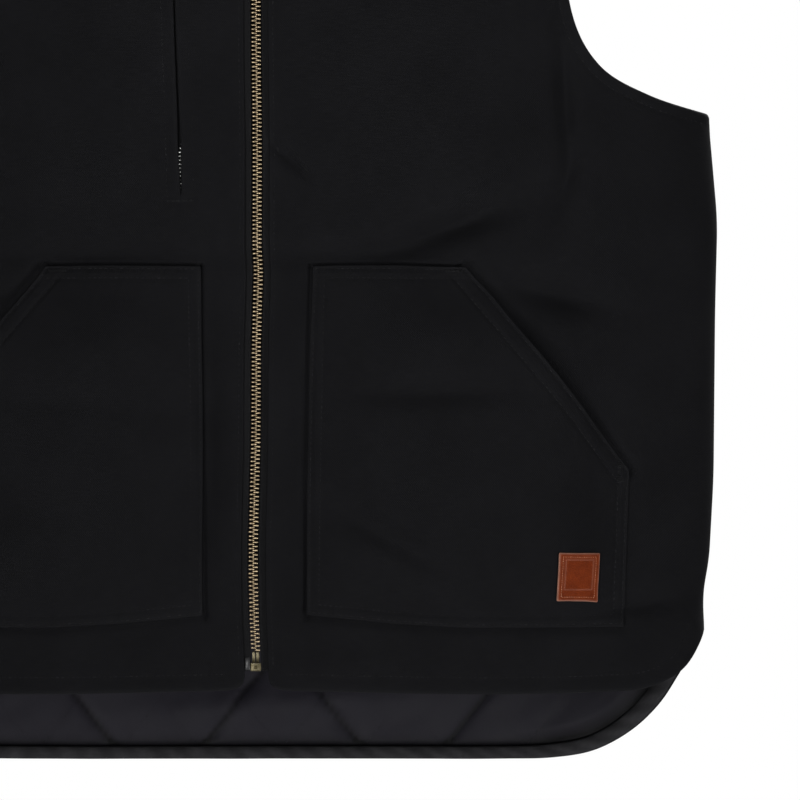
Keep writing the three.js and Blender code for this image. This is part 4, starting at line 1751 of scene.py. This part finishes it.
@dataclass
class HandPocket:
    """A patch pocket with a slanted mouth, sewn round the rest of its edge."""

    side: Side
    thick: float = 2.0
    middle: float = 2.8
    inner: float = 33.0
    outer: float = 234.5
    top: float = -412.6
    foot: float = -632.0
    puff: float = 11.0
    ease_reach: float = 55.0
    step: float = 1.7
    flat: Pair = (0.205, 0.23)
    flat_area: float = 0.0395
    rows_in: Pair = (1.9, 7.2)
    mouth_rows: Pair = (2.1, 10.6)
    low_tack: tuple[Pair, ...] = ((227.0, -534.0), (228.5, -548.0))
    low_bar: tuple[float, int] = (6.4, 13)
    low_stitch: Triple = (6.4, 5.8, 0.75)
    high_tack: tuple[Pair, ...] = ((119.0, -415.6), (129.5, -415.6))
    high_bar: tuple[float, int] = (2.4, 16)
    high_stitch: Triple = (4.0, 3.0, 0.6)
    across_length: float = 200.0
    up_length: float = 225.0
    left_edge: tuple[Pair, ...] = ((33, -632), (35.6, -412.6))
    foot_edge: tuple[Pair, ...] = ((33, -632), (85, -637.2), (128, -640), (231, -640))
    right_edge: tuple[Pair, ...] = ((231, -640), (234.5, -540.5), (132, -412.6))
    top_edge: tuple[Pair, ...] = ((35.6, -412.6), (132, -412.6))
    folds: tuple[Fold, ...] = (
        Fold(107, -491, 1.57, 46, 8.5, 5.0),
        Fold(88, -586, 2.06, 50, 9.5, 7.5),
        Fold(60, -560, 0.1, 50, 10, 1.0),
        Fold(170, -560, 0.9, 45, 14, 1.2),
    )

    def rows(self) -> list[Array]:
        """The stitch rows on the wearer's left: two round the sewn edges and two along the mouth."""
        sewn = np.array([*self.top_edge[::-1], *self.foot_edge, self.right_edge[1]], float)
        mouth = np.array(self.right_edge[1:], float)
        return [inset(sewn, d) for d in self.rows_in] + [inset(mouth, d) for d in self.mouth_rows]

    def crevices(self, away: float = 0.9) -> Edges:
        """Lines just outside the inner and top edges and the mouth, and inside the foot, on the left."""
        inner = np.array(self.left_edge, float) - [away, 0]
        top = np.array(self.top_edge, float) + [0, away]
        mouth = np.array(self.right_edge[1:], float)
        foot = np.array(self.foot_edge, float) + [0, away]
        return inner, top, mouth + [2 * away, away], foot

    def tacks(self) -> tuple[list[Array], list[Array]]:
        """Short dense stitches at the lower and the upper end of the mouth, on the wearer's left."""
        return bar_tack(*self.low_tack, *self.low_bar), bar_tack(*self.high_tack, *self.high_bar)

    def lift(self, x: Array, z: Array) -> Array:
        """How far the pocket stands off: smooth steps from its edges, multiplied, less its folds."""
        out = x * self.side.value
        sides = ease(out - self.inner, self.ease_reach) * ease(self.outer - out, self.ease_reach)
        rise = ease(self.top - z, self.ease_reach) * ease(z - self.foot, self.ease_reach)
        folds = sum(fold.sink(out, z) for fold in self.folds)
        return self.puff * sides * rise - folds * np.sqrt(np.maximum(sides * rise, 0))

    def sheet(self) -> Sheet:
        """How the cloth lies."""
        seams = SeamRelief(self.rows(), groove=0.7, breadth=1.4, pucker=0.16)
        sign = self.side.value
        return Sheet(
            Face.FRONT,
            self.middle,
            self.thick,
            radius=1.5,
            relief=lambda x, z: seams.height(x * sign, z),
            lift=self.lift,
        )

    def build(self, wardrobe: Wardrobe) -> None:
        """Makes the pocket and its stitches."""
        name = self.side.name.lower()
        lines = (self.left_edge, self.right_edge, self.foot_edge, self.top_edge)
        edges = tuple(np.array(line, float) for line in lines)
        u = crowded(self.across_length, self.step)[None]
        v = crowded(self.up_length, self.step)[:, None]
        spots = coons(edges, u, v)
        sheet = self.sheet()
        sign = self.side.value
        shell = sheet.shell(*BODY.locate(sign * spots[..., 0], spots[..., 1]))
        cloth = make_piece(f"pocket_{name}", shell, wardrobe.duck, [f"hand_pocket_{name}"])
        rows = [row * [sign, 1] for row in self.rows()]
        low, high = ([row * [sign, 1] for row in tack] for tack in self.tacks())
        shells = [
            stitched(rows, sheet.surface),
            stitched(low, sheet.surface, *self.low_stitch),
            stitched(high, sheet.surface, *self.high_stitch),
        ]
        make_piece(f"stitches_pocket_{name}", joined(shells), wardrobe.thread)


@dataclass
class Collar:
    """The plain stand collar, sewn to the neck and topstitched round its edge."""

    thick: float = 3.0
    height: float = 60.0
    side_height: float = 48.0
    lean: float = 0.25
    neck_inset: float = 0.4
    stations: int = 110
    rows_up: int = 24
    step: float = 2.4
    end_row: float = 4.0
    edge_row: float = 5.0
    top_row: float = 55.0
    stitch_sink: float = 0.3
    roll: float = 1.2
    wave: float = 0.5
    wave_length: float = 23.0
    tongue: float = 5.0
    tongue_rows: Row = (-1.0, -0.6, -0.3, -0.1)
    tongue_share: float = 0.4
    flat: Pair = (0.50, 0.06)
    grid_foot: Array = field(init=False)
    grid_way: Array = field(init=False)
    grid_out: Array = field(init=False)
    grid_height: Array = field(init=False)

    def __post_init__(self) -> None:
        """Works out the collar's foot, with the ways up and out at each of its places."""
        turn = np.linspace(-1, 1, 2 * self.stations + 1)
        angle = np.pi / 2 * (1 - turn**2)
        front = turn < 0
        move = self.neck_inset + self.thick / 2 * np.sin(angle)
        flat = np.where(front, NECK_FLAT, 0.0)
        x = flat + (BODY.neck_half - flat - move) * np.sin(angle)
        down = (np.where(front, NECK_DROP, BACK_NECK_DROP) - self.neck_inset) * np.cos(angle)
        across = 1 - (1 - x / BODY.side_half[0]) ** (1 / BODY.crowding)
        faces = [BODY.point(face, across, down)[:, 1] for face in (Face.FRONT, Face.BACK)]
        half = np.stack([x, np.where(front, *faces), -down], axis=1)
        half = np.vstack([[ZIP_OPENING, half[0, 1], half[0, 2]], half])
        foot = np.vstack([half, (half[:-1] * [-1, 1, 1])[::-1]])
        run = unit(np.gradient(foot, axis=0) * [1, 1, 0])
        out = np.stack([run[:, 1], -run[:, 0], np.zeros(len(run))], axis=1)
        out[[0, -1]] = [0, -1, 0]
        inward = foot * [-1, -1, 0] / BODY.neck_half
        inward[[0, -1], 0] = 0
        self.grid_way = unit(inward * self.lean + [0, 0, 1])
        self.grid_foot = foot
        self.grid_out = out
        side = (foot[:, 0] / BODY.neck_half) ** 2
        self.grid_height = self.height + (self.side_height - self.height) * side

    def middle(self, run: Array, share: Array) -> Arrays:
        """Points of the collar's middle and the ways out, by the way along its foot and the share up.

        Args:
            run: Ways along the foot.
            share: Shares of the height.

        Returns:
            Points and unit ways, with the shape of run and one more axis of 3.
        """
        table = np.hstack([self.grid_foot, self.grid_way, self.grid_out, self.grid_height[:, None]])
        found = read_off(table, run, run_lengths(self.grid_foot))
        wave = self.wave * np.sin(run / self.wave_length + 2 * share) * share
        roll = self.roll * np.sin(np.pi * share) + wave
        points = found[..., :3] + found[..., 3:6] * (found[..., 9] * share)[..., None]
        out = unit(found[..., 6:9])
        return points + out * roll[..., None], out

    def surface(self, run: Array, up: Array) -> Arrays:
        """The outer skin by the way along the foot and the height."""
        points, out = self.middle(run, up / self.height)
        return points + out * (self.thick / 2 - self.stitch_sink), out

    def build(self, wardrobe: Wardrobe) -> None:
        """Makes the collar and its stitches."""
        length = run_lengths(self.grid_foot)[-1]
        run = crowded(length, self.step)[None] * length
        tongue = np.array(self.tongue_rows) * self.tongue / self.height
        share = np.concatenate([tongue, crowded(self.height, self.height / self.rows_up)])[:, None]
        run, share = np.broadcast_arrays(run, share)
        points, out = self.middle(run, share)
        near, far = self.end_row, length - self.end_row
        low, high = self.edge_row, self.top_row
        rows = [
            np.array([[near, low], [near, high], [far, high], [far, low]]),
            np.array([[near, low], [far, low]]),
        ]
        height, close = SeamRelief(rows).height(run, share * self.height)
        rim = rim_distance(points)
        foot = np.maximum(rounding(np.maximum(share, 0) * self.height, Sheet.radius), self.tongue_share)
        edge = rounding(rim, Sheet.radius) * foot
        above = edge * (self.thick / 2 + height)
        wear = Sheet.edge_wear_and_painted_light * bell(rim, Sheet.edge_reach) + Sheet.seam_wear_and_painted_shade * close
        cloth = np.stack([run, share * self.height], axis=-1)
        shell = wall(points, out, above, edge * self.thick / 2, cloth, wear)
        collar = make_piece("collar_stand", shell, wardrobe.duck, ["collar"])
        make_piece("stitches_collar", stitched(rows, self.surface), wardrobe.thread)


@dataclass
class LeatherPatch:
    """A bare leather patch with a stitched border, on the left hand pocket."""

    pocket: HandPocket
    x: float = 200.4
    z: float = -607.8
    width: float = 26.5
    height: float = 31.2
    tilt: float = -0.006
    shear: float = 0.018
    taper: float = 0.064
    corner: float = 1.0
    thick: float = 2.0
    middle: float = 5.1
    step: float = 0.45
    border: float = 2.6
    groove: float = 0.3
    groove_breadth: float = 0.5
    frame: float = 4.4
    frame_foot: float = 7.4
    pressed: float = 0.2
    pressed_breadth: float = 0.35
    crown: float = 0.25
    crown_reach: float = 8.0
    stitch: Triple = (1.5, 1.2, 0.55)

    def local(self, x: Array, z: Array) -> Arrays:
        """Places on the patch from places on the vest: moved and turned back."""
        dx = x - self.x
        dz = z - self.z
        c, s = np.cos(self.tilt), np.sin(self.tilt)
        up = dz * c - dx * s
        return (dx * c + dz * s + self.shear * up) / (1 + self.taper * up / self.height), up

    def vest(self, a: Array, b: Array) -> Arrays:
        """Places on the vest from places on the patch."""
        c, s = np.cos(self.tilt), np.sin(self.tilt)
        a = a * (1 + self.taper * b / self.height) - self.shear * b
        return self.x + a * c - b * s, self.z + a * s + b * c

    def relief(self, x: Array, z: Array) -> Arrays:
        """A soft crown, a groove under the border stitches and one plain pressed frame line."""
        a, b = self.local(x, z)
        rim = np.minimum(self.width / 2 - np.abs(a), self.height / 2 - np.abs(b))
        groove = bell(rim - self.border, self.groove_breadth)
        above_foot = self.height / 2 + b - self.frame_foot + self.frame
        line = bell(np.minimum(rim, above_foot) - self.frame, self.pressed_breadth)
        crown = self.crown * ease(rim, self.crown_reach)
        return crown - self.groove * groove - self.pressed * line, line

    def build(self, wardrobe: Wardrobe) -> None:
        """Makes the patch and its border stitches."""
        a = (crowded(self.width, self.step)[None] - 0.5) * self.width
        b = (crowded(self.height, self.step)[:, None] - 0.5) * self.height
        a, b = np.broadcast_arrays(a, b)
        core = np.clip(a, self.corner - self.width / 2, self.width / 2 - self.corner)
        core_b = np.clip(b, self.corner - self.height / 2, self.height / 2 - self.corner)
        da, db = a - core, b - core_b
        far = np.hypot(da, db)
        pull = np.where(far > 0, np.maximum(np.abs(da), np.abs(db)) / np.maximum(far, TINY), 1.0)
        x, z = self.vest(core + da * pull, core_b + db * pull)
        sheet = Sheet(
            Face.FRONT,
            self.middle,
            self.thick,
            radius=0.8,
            relief=self.relief,
            lift=self.pocket.lift,
            edge_wear_and_painted_light=1.5,
            edge_reach=0.7,
            seam_wear_and_painted_shade=0.45,
        )
        shell = sheet.shell(*BODY.locate(x, z))
        patch = make_piece("patch", shell, wardrobe.leather, ["leather_patch"])
        w, h = self.width / 2 - self.border, self.height / 2 - self.border
        corners = np.array([[-w, -h], [w, -h], [w, h], [-w, h], [-w, -h]])
        line = np.stack(self.vest(corners[:, 0], corners[:, 1]), axis=1)
        border = stitched([line], sheet.surface, *self.stitch)
        make_piece("stitches_patch", border, wardrobe.brown_thread)
        size = (self.width * MM, self.height * MM)


# The zips


def tooth_shape(scale: float = 1.0) -> Shell:
    """One zip tooth: rounded rings from its nose past the middle line out to the legs on the tape.

    Args:
        scale: Its size beside a tooth of the front zip.

    Returns:
        The tooth along X.
    """
    across = np.array([-0.75, -0.5, 0.25, 0.85, 1.45, 2.8, 3.0])
    tall = np.array([0.55, 0.95, 1.15, 0.95, 1.2, 1.25, 0.95])
    thick = np.array([0.9, 1.5, 1.9, 2.1, 2.5, 2.6, 2.0])
    tone = np.array([0.9, 0.9, 0.85, 0.5, 0.6, 0.6, 0.25])
    flat = np.stack([rounded_ring(t, d, 0.24, 1) for t, d in zip(tall, thick)])
    rings = np.concatenate([np.broadcast_to(across[:, None, None], (*flat.shape[:2], 1)), flat], axis=2)
    return lofted(rings * scale, tone)


def block_shape(rows: Sequence[tuple[float, float, float, float]], corner: float) -> Shell:
    """A block through rounded rectangles.

    Args:
        rows: Rows of (along, width, thickness, wear).
        corner: The corners' radius.

    Returns:
        The block along Y.
    """
    rings = []
    for height, width, thick, _ in rows:
        ring = rounded_ring(width, thick, min(corner, 0.45 * min(width, thick)), 3)
        rings.append(np.stack([ring[:, 0], np.full(len(ring), height), ring[:, 1]], axis=1))
    return lofted(np.stack(rings), np.array([row[3] for row in rows]))


def plate_shape(outline: Array, thick: float, bevel: float) -> Shell:
    """A plate with bevelled rims: its outline drawn in at both faces.

    Args:
        outline: Its outline (n, 2).
        thick: Its thickness.
        bevel: The bevel's width.

    Returns:
        The plate, across Z.
    """
    size = np.maximum(np.abs(outline).max(axis=0), TINY)
    small = outline * (1 - bevel / size)
    half = thick / 2
    layers = ((-half, small), (bevel - half, outline), (half - bevel, outline), (half, small))
    rings = [np.column_stack([ring, np.full(len(ring), level)]) for level, ring in layers]
    return lofted(np.stack(rings), np.array([0.4, 0.7, 0.8, 0.75]))


# Metal blocks, as rows of (along, width, thickness, wear)

BOX = (
    (-12.4, 5.6, 2.6, 0.0),
    (-12.1, 6.5, 3.3, 0.2),
    (-11.5, 6.9, 3.6, 0.2),
    (-8.0, 6.9, 3.6, 0.1),
    (-7.3, 6.8, 3.6, 0.7),
    (-6.9, 6.2, 3.0, 0.3),
)
PIN = ((-7.2, 2.0, 2.3, 0.1), (-0.4, 2.1, 2.5, 0.35), (0.2, 1.6, 1.9, 0.2))
SLOT = ((-10.9, 1.4, 0.5, 0.0), (-10.7, 2.0, 0.9, 0.1), (-9.0, 2.0, 0.9, 0.1), (-8.8, 1.4, 0.5, 0.0))
BRIDGE = ((-1.5, 2.8, 4.2, 0.4), (1.5, 2.8, 4.2, 0.4))
LOOP = ((-2.6, 2.2, 1.2, 0.5), (-1.8, 2.6, 2.2, 0.7), (1.8, 2.6, 2.2, 0.7), (2.6, 2.2, 1.2, 0.5))
SMALL_SLIDER = ((-4.5, 3.6, 1.4, 0.4), (-3.5, 5.6, 1.8, 0.7), (1.0, 4.6, 1.8, 0.7), (4.5, 5.4, 1.5, 0.5))


@dataclass(frozen=True)
class SliderSize:
    """Sizes of the front zip's slider: its two waisted plates, and the loop and tab on the outer one."""

    half_width: float = 4.5
    half_length: float = 6.5
    waist: float = 0.9
    waist_at: float = -0.4
    waist_reach: float = 0.3
    squareness: Pair = (0.5, 0.7)
    plate: Pair = (1.4, 0.35)
    away: float = 2.3
    bridge_up: float = 5.0
    loop_up: float = 0.5
    loop_out: float = 0.9
    tab_ring: Triple = (6.0, 26.0, 2.4)
    tab: Pair = (1.3, 0.3)
    tab_down: float = 13.0
    tab_out: float = 1.4

    def outline(self) -> Array:
        """A plate's rim: powers of sine and cosine, less a bell curve at the waist."""
        turn = np.linspace(0, 2 * np.pi, 28, endpoint=False)
        width = self.half_width - self.waist * bell(np.sin(turn) - self.waist_at, self.waist_reach)
        flat, tall = self.squareness
        x = width * np.sign(np.cos(turn)) * np.abs(np.cos(turn)) ** flat
        y = self.half_length * np.sign(np.sin(turn)) * np.abs(np.sin(turn)) ** tall
        return np.stack([x, y], axis=1)


@dataclass
class FrontZip:
    """The brass front zip: tapes, teeth, box and slider."""

    collar: Collar
    tape_out: float = -1.8
    tape_thick: float = 1.0
    tape_inner: float = 3.3
    tape_end: float = 14.0
    tape_short: float = 1.0
    tape_step: float = 3.0
    tape_radius: float = 0.6
    bead: float = 0.55
    bead_in: float = 0.5
    bead_breadth: float = 0.55
    pitch: float = 2.62
    tilt: float = 0.03
    foot_gap: float = 1.0
    top_gap: float = 0.3
    end: float = -655.0
    tape_bottom: float = -667.0
    from_top: float = 6.0
    bridge: float = 3.0
    pin_aside: float = 1.25
    slot_out: float = 1.6
    slider_size: SliderSize = SliderSize()
    film_size: Triple = (3.4, 7.8, 0.5)
    film_thick: float = 0.4
    film_bevel: float = 0.15
    film_out: float = 0.25
    film_across: float = -5.4
    film_down: float = 7.6
    spots: Array = field(init=False)
    outs: Array = field(init=False)

    def __post_init__(self) -> None:
        """Works out the zip's line: up the middle of the front, then up the collar's edge."""
        down = np.linspace(-self.tape_bottom, NECK_DROP, 320)
        spots, outs = BODY.skin(Face.FRONT, np.zeros(320), down)
        neck = spots[-1]
        way = np.array([0, -neck[1] / BODY.neck_half * self.collar.lean, 1.0])
        way /= np.linalg.norm(way)
        share = np.linspace(0, 1, 40)[1:, None]
        rise = neck + way * self.collar.height * share
        stand = np.broadcast_to([0, -way[2], way[1]], rise.shape)
        self.spots = np.vstack([spots, rise])
        self.outs = np.vstack([outs, stand])

    @property
    def middle(self) -> float:
        """The distance of the chain's middle from the middle of the cloth."""
        return self.tape_out - self.tape_thick / 2

    def length(self) -> float:
        """The whole way from the tape's foot to the collar's top."""
        return float(run_lengths(self.spots)[-1])

    def start(self) -> float:
        """The way at which the teeth start."""
        return float(np.interp(self.end, self.spots[:, 2], run_lengths(self.spots)))

    def place(self, across: Array, run: Array, away: float) -> Arrays:
        """Points beside the zip's line and its axes there.

        Args:
            across: Distances to the wearer's left.
            run: Ways along the line.
            away: Distance out of the cloth.

        Returns:
            Points, and the axes across, along and out as rows.
        """
        ways = run_lengths(self.spots)
        spot = read_off(self.spots, run, ways)
        out = unit(read_off(self.outs, run, ways))
        side = np.broadcast_to([1.0, 0, 0], out.shape)
        axes = np.stack([side, np.cross(out, side), out], axis=-2)
        return spot + side * across[..., None] + out * away, axes

    def tape(self, side: Side, wardrobe: Wardrobe) -> None:
        """Makes one tape: a thin strip with a bead along the teeth."""
        length = self.length() - self.tape_short
        columns = np.concatenate([[0, 0.02, 0.05], np.linspace(0.09, 0.95, 12), [0.98, 1]])
        run, share = np.broadcast_arrays(crowded(length, self.tape_step)[:, None] * length, columns[None])
        across = self.tape_inner + (self.tape_end - self.tape_inner) * share
        points, axes = self.place(side.value * across, run, self.middle)
        out = axes[..., 2, :]
        edge = rounding(rim_distance(points), self.tape_radius)
        bead = self.bead * bell(across - self.tape_inner - self.bead_in, self.bead_breadth)
        half = edge * (self.tape_thick / 2 + bead)
        shell = wall(points, out, half, half, np.stack([across, run], axis=-1), 0 * run)
        name = side.name.lower()
        tape = make_piece(f"tape_{name}", shell, wardrobe.tape, [f"zip_tape_{name}"])

    def teeth(self, side: Side, wardrobe: Wardrobe) -> None:
        """Makes one row of teeth, half a step apart from the other row."""
        top = self.length() - self.from_top - self.bridge - self.top_gap
        half = 0.0 if side is Side.LEFT else self.pitch / 2
        run = np.arange(self.start() + self.foot_gap + half, top, self.pitch)
        spots, axes = self.place(np.zeros(len(run)), run, self.middle)
        axes = axes.copy()
        axes[:, 0] *= side.value
        shape = tooth_shape()
        tilt = STEADY.normal(0, self.tilt, len(run))
        axes[:, 0] += axes[:, 1] * tilt[:, None]
        shell = scattered(shape, spots, axes)
        if side is Side.RIGHT:
            shell.flipped()
        name = side.name.lower()
        make_piece(f"teeth_{name}", shell, wardrobe.brass, [f"zip_teeth_{name}"])

    def fixed(self, shells: Sequence[tuple[Shell, float, float]]) -> Shell:
        """Shells set on the zip's line, each with its way along and its distance out."""
        placed = []
        for shell, run, away in shells:
            spots, axes = self.place(np.zeros(1), np.array([run]), away)
            placed.append(scattered(shell, spots, axes))
        return joined(placed)

    def box(self, wardrobe: Wardrobe) -> None:
        """Makes the box at the zip's foot, with two pins above it and a low bar on its face."""
        body = block_shape(BOX, 0.7)
        pin = block_shape(PIN, 0.4)
        slot = block_shape(SLOT, 0.3)
        start = self.start()
        pins = joined([pin.moved(-self.pin_aside), pin.moved(self.pin_aside)])
        shell = self.fixed((
            (body, start, self.middle),
            (pins, start, self.middle),
            (slot, start, self.middle + self.slot_out),
        ))
        make_piece("box", shell, wardrobe.aged_brass, ["zip_box"])

    def film(self, wardrobe: Wardrobe) -> None:
        """Makes the small clear film that stiffens the right tape's foot."""
        ring = rounded_ring(*self.film_size, 3)
        plate = plate_shape(ring, self.film_thick, self.film_bevel).moved(self.film_across)
        away = self.middle + self.tape_thick / 2 + self.film_out
        shell = self.fixed(((plate, self.start() - self.film_down, away),))
        make_piece("tape_film", shell, wardrobe.film)

    def slider(self, wardrobe: Wardrobe) -> None:
        """Makes the slider: two waisted plates, the bridge between them, a loop and a hanging tab."""
        size = self.slider_size
        middle = self.length() - self.from_top - size.half_length
        front = self.middle + size.away
        face = plate_shape(size.outline(), *size.plate)
        tab = plate_shape(rounded_ring(*size.tab_ring, 5), *size.tab)
        shell = self.fixed((
            (face, middle, front),
            (face, middle, self.middle - size.away),
            (block_shape(BRIDGE, 0.5), middle + size.bridge_up, self.middle),
            (block_shape(LOOP, 0.6), middle + size.loop_up, front + size.loop_out),
            (tab, middle - size.tab_down, front + size.tab_out),
        ))
        make_piece("slider", shell, wardrobe.brass, ["zip_slider"])

    def build(self, wardrobe: Wardrobe) -> None:
        """Makes the whole zip."""
        for side in (Side.LEFT, Side.RIGHT):
            self.tape(side, wardrobe)
            self.teeth(side, wardrobe)
        self.box(wardrobe)
        self.film(wardrobe)
        self.slider(wardrobe)


@dataclass
class ChestZip:
    """The small zip behind the chest pocket's slit."""

    panel: FrontPanel
    tape_width: float = 24.0
    overlap: float = 6.0
    chain_middle: float = -2.4
    tape_middle: float = -4.4
    tape_thick: float = 1.0
    tape_step: float = 3.0
    tape_columns: int = 18
    pitch: float = 2.5
    scale: float = 0.74
    first_gap: float = 1.2
    slider_length: float = 9.0
    aside: float = 1.0
    hidden: float = 2.8
    hide_reach: float = 14.0
    seen_from: float = 0.86

    def line(self) -> tuple[Array, Array, float]:
        """The slit's top, the unit way down it and its length, on the wearer's right."""
        top = np.array(self.panel.slit_top) * [-1, 1]
        foot = np.array(self.panel.slit_foot) * [-1, 1]
        length = float(np.linalg.norm(foot - top))
        return top, (foot - top) / length, length

    def place(self, across: Array, run: Array) -> Arrays:
        """Places in X and Z beside the slit's line."""
        top, way, _ = self.line()
        return top[0] + way[0] * run - way[1] * across, top[1] + way[1] * run + way[0] * across

    def build(self, wardrobe: Wardrobe) -> None:
        """Makes the tape, the two rows of teeth and the slider."""
        _, _, length = self.line()
        whole = length + 2 * self.overlap
        run = crowded(whole, self.tape_step)[:, None] * whole - self.overlap
        across = np.linspace(-0.5, 0.5, self.tape_columns)[None] * self.tape_width
        across, run = np.broadcast_arrays(across, run)
        sheet = Sheet(Face.FRONT, self.tape_middle, self.tape_thick, radius=0.6, edge_wear_and_painted_light=0.0)
        shell = sheet.shell(*BODY.locate(*self.place(across, run)))
        tape = make_piece("chest_tape", shell, wardrobe.tape, ["chest_zip_tape"])
        size = (self.tape_width * MM, whole * MM)
        rows = []
        for side in (1, -1):
            first = self.slider_length + self.first_gap + (side + 1) * self.pitch / 4
            steps = np.arange(first, length, self.pitch)
            spots, axes = self.axes(steps)
            axes[:, 0] *= side
            row = scattered(tooth_shape(self.scale), spots, axes)
            rows.append(row.flipped() if side < 0 else row)
        make_piece("chest_teeth", joined(rows), wardrobe.white_metal, ["chest_zip_teeth"])
        spots, axes = self.axes(np.array([self.slider_length / 2]))
        slider = scattered(block_shape(SMALL_SLIDER, 0.5), spots, axes)
        make_piece("chest_slider", slider, wardrobe.white_metal, ["chest_zip_slider"])

    def axes(self, run: Array) -> Arrays:
        """Points of the chain's middle and its axes across, along and out as rows."""
        _, _, length = self.line()
        aside = self.aside + self.hidden * ease(self.seen_from * length - run, self.hide_reach)
        points, out = BODY.place(Face.FRONT, *self.place(aside, run))
        ahead, _ = BODY.place(Face.FRONT, *self.place(aside, run - 1.0))
        up = ahead - points
        up = unit(up - out * np.sum(up * out, axis=1, keepdims=True))
        return points + out * self.chain_middle, np.stack([np.cross(up, out), up, out], axis=1)


# The studio


@dataclass(frozen=True)
class Lamp:
    """A soft box turned to face a place, in metres and watts, whose light fans out over an angle."""

    name: str
    place: Triple
    aim: Triple
    size: Pair
    power: float
    spread: float = np.pi

    def build(self) -> None:
        """Makes the light."""
        data = bpy.data.lights.new(self.name, "AREA")
        data.shape = "RECTANGLE"
        data.size, data.size_y = self.size
        data.energy = self.power
        data.spread = self.spread
        made = bpy.data.objects.new(self.name, data)
        made.location = self.place
        way = Vector(self.aim) - Vector(self.place)
        made.rotation_euler = way.to_track_quat("-Z", "Y").to_euler()
        bpy.context.scene.collection.objects.link(made)


LAMPS = (
    Lamp("key", (-0.75, -2.2, -1.42), (0.05, 0.0, -0.4), (0.7, 0.45), 21.5),
    Lamp("side", (1.75, -1.75, -1.42), (0.15, 0.0, -0.45), (0.7, 0.45), 27.5),
    Lamp("fill", (-0.3, -2.2, -0.3), (0.2, 0.0, 0.0), (0.9, 0.9), 2.6, 1.0),
    Lamp("top", (0.2, 1.2, 1.9), (0.0, 0.0, -0.1), (1.2, 1.2), 70.0),
    Lamp("rear", (1.5, 1.9, 0.5), (0.0, 0.0, -0.4), (0.9, 0.9), 85.0),
    Lamp("rear_fill", (-1.8, 1.6, -0.6), (0.0, 0.0, -0.4), (1.0, 1.0), 30.0),
)


@dataclass
class Studio:
    """A pale floor well below the held-up vest, soft light and the camera."""

    aim_x: float = 0.0910
    aim_z: float = -0.4964
    view_width: float = 0.504
    lens: float = 1500.0
    sensor: float = 36.0
    floor_z: float = -1.5
    floor_size: float = 6.0
    floor_share: float = 0.35
    ambient: float = 0.17

    def camera(self) -> None:
        """A long lens square to the front, so that near and far edges stay in step."""
        data = bpy.data.cameras.new("camera")
        data.lens = self.lens
        data.sensor_width = self.sensor
        distance = self.view_width * self.lens / self.sensor
        data.clip_end = 4 * distance
        made = bpy.data.objects.new("camera", data)
        made.location = (self.aim_x, -distance - BODY.front_depth * MM, self.aim_z)
        made.rotation_euler = (np.pi / 2, 0, 0)
        bpy.context.scene.collection.objects.link(made)
        bpy.context.scene.camera = made

    def world(self) -> None:
        """White all round to the camera, and a softer even light on the vest."""
        b = Bench("studio", world=True)
        white = (1, 1, 1, 1)
        seen = b.flow("ShaderNodeBackground", inputs={"Color": white})
        lit = b.flow("ShaderNodeBackground", inputs={"Color": white, "Strength": self.ambient})
        path = b.flow("ShaderNodeLightPath", "Is Camera Ray")
        mix = b.flow("ShaderNodeMixShader", inputs={0: path, 1: lit, 2: seen})
        b.node("ShaderNodeOutputWorld", inputs={"Surface": mix})
        bpy.context.scene.world = b.owner

    def floor(self) -> None:
        """A pale floor whose edge fades out."""
        b = Bench("pale_floor")
        x, y, _ = b.axes(b.solid_place())
        far = b.math("SQRT", x * x + y * y) / (self.floor_size / 2)
        fade = b.clamped((1.0 - far) * 2.5) * self.floor_share
        material = b.finish({
            "Base Color": (0.92, 0.92, 0.92, 1),
            "Roughness": 0.9,
            "Specular IOR Level": 0.1,
            "Alpha": fade,
        })
        half = self.floor_size / 2
        mesh = bpy.data.meshes.new("floor")
        corners = [(-half, -half), (half, -half), (half, half), (-half, half)]
        mesh.from_pydata([(x, y, self.floor_z) for x, y in corners], [], [(0, 1, 2, 3)])
        mesh.materials.append(material)
        made = bpy.data.objects.new("floor", mesh)
        bpy.context.scene.collection.objects.link(made)

    def build(self) -> None:
        """Sets up the studio."""
        bpy.context.scene.view_settings.view_transform = "Standard"
        bpy.context.scene.view_settings.look = "None"
        self.camera()
        self.world()
        self.floor()
        for lamp in LAMPS:
            lamp.build()


def main() -> None:
    """Builds the studio and the vest, piece by piece."""
    logging.basicConfig(level=logging.INFO, format="%(message)s")
    Studio().build()
    finishes = Wardrobe()
    collar = Collar()
    left_pocket = HandPocket(Side.LEFT)
    right_pocket = HandPocket(Side.RIGHT, folds=(Fold(95, -500, 1.5, 60, 8, 1.2),))
    right = FrontPanel(Side.RIGHT, pocket_lines=right_pocket.crevices())
    collar.build(finishes)
    FrontPanel(Side.LEFT, pocket_lines=left_pocket.crevices()).build(finishes)
    right.build(finishes)
    BackPanel().build(finishes)
    Lining().build(finishes)
    TailStrip().build(finishes)
    left_pocket.build(finishes)
    right_pocket.build(finishes)
    LeatherPatch(left_pocket).build(finishes)
    FrontZip(collar).build(finishes)
    ChestZip(right).build(finishes)


if __name__ == "__main__":
    main()
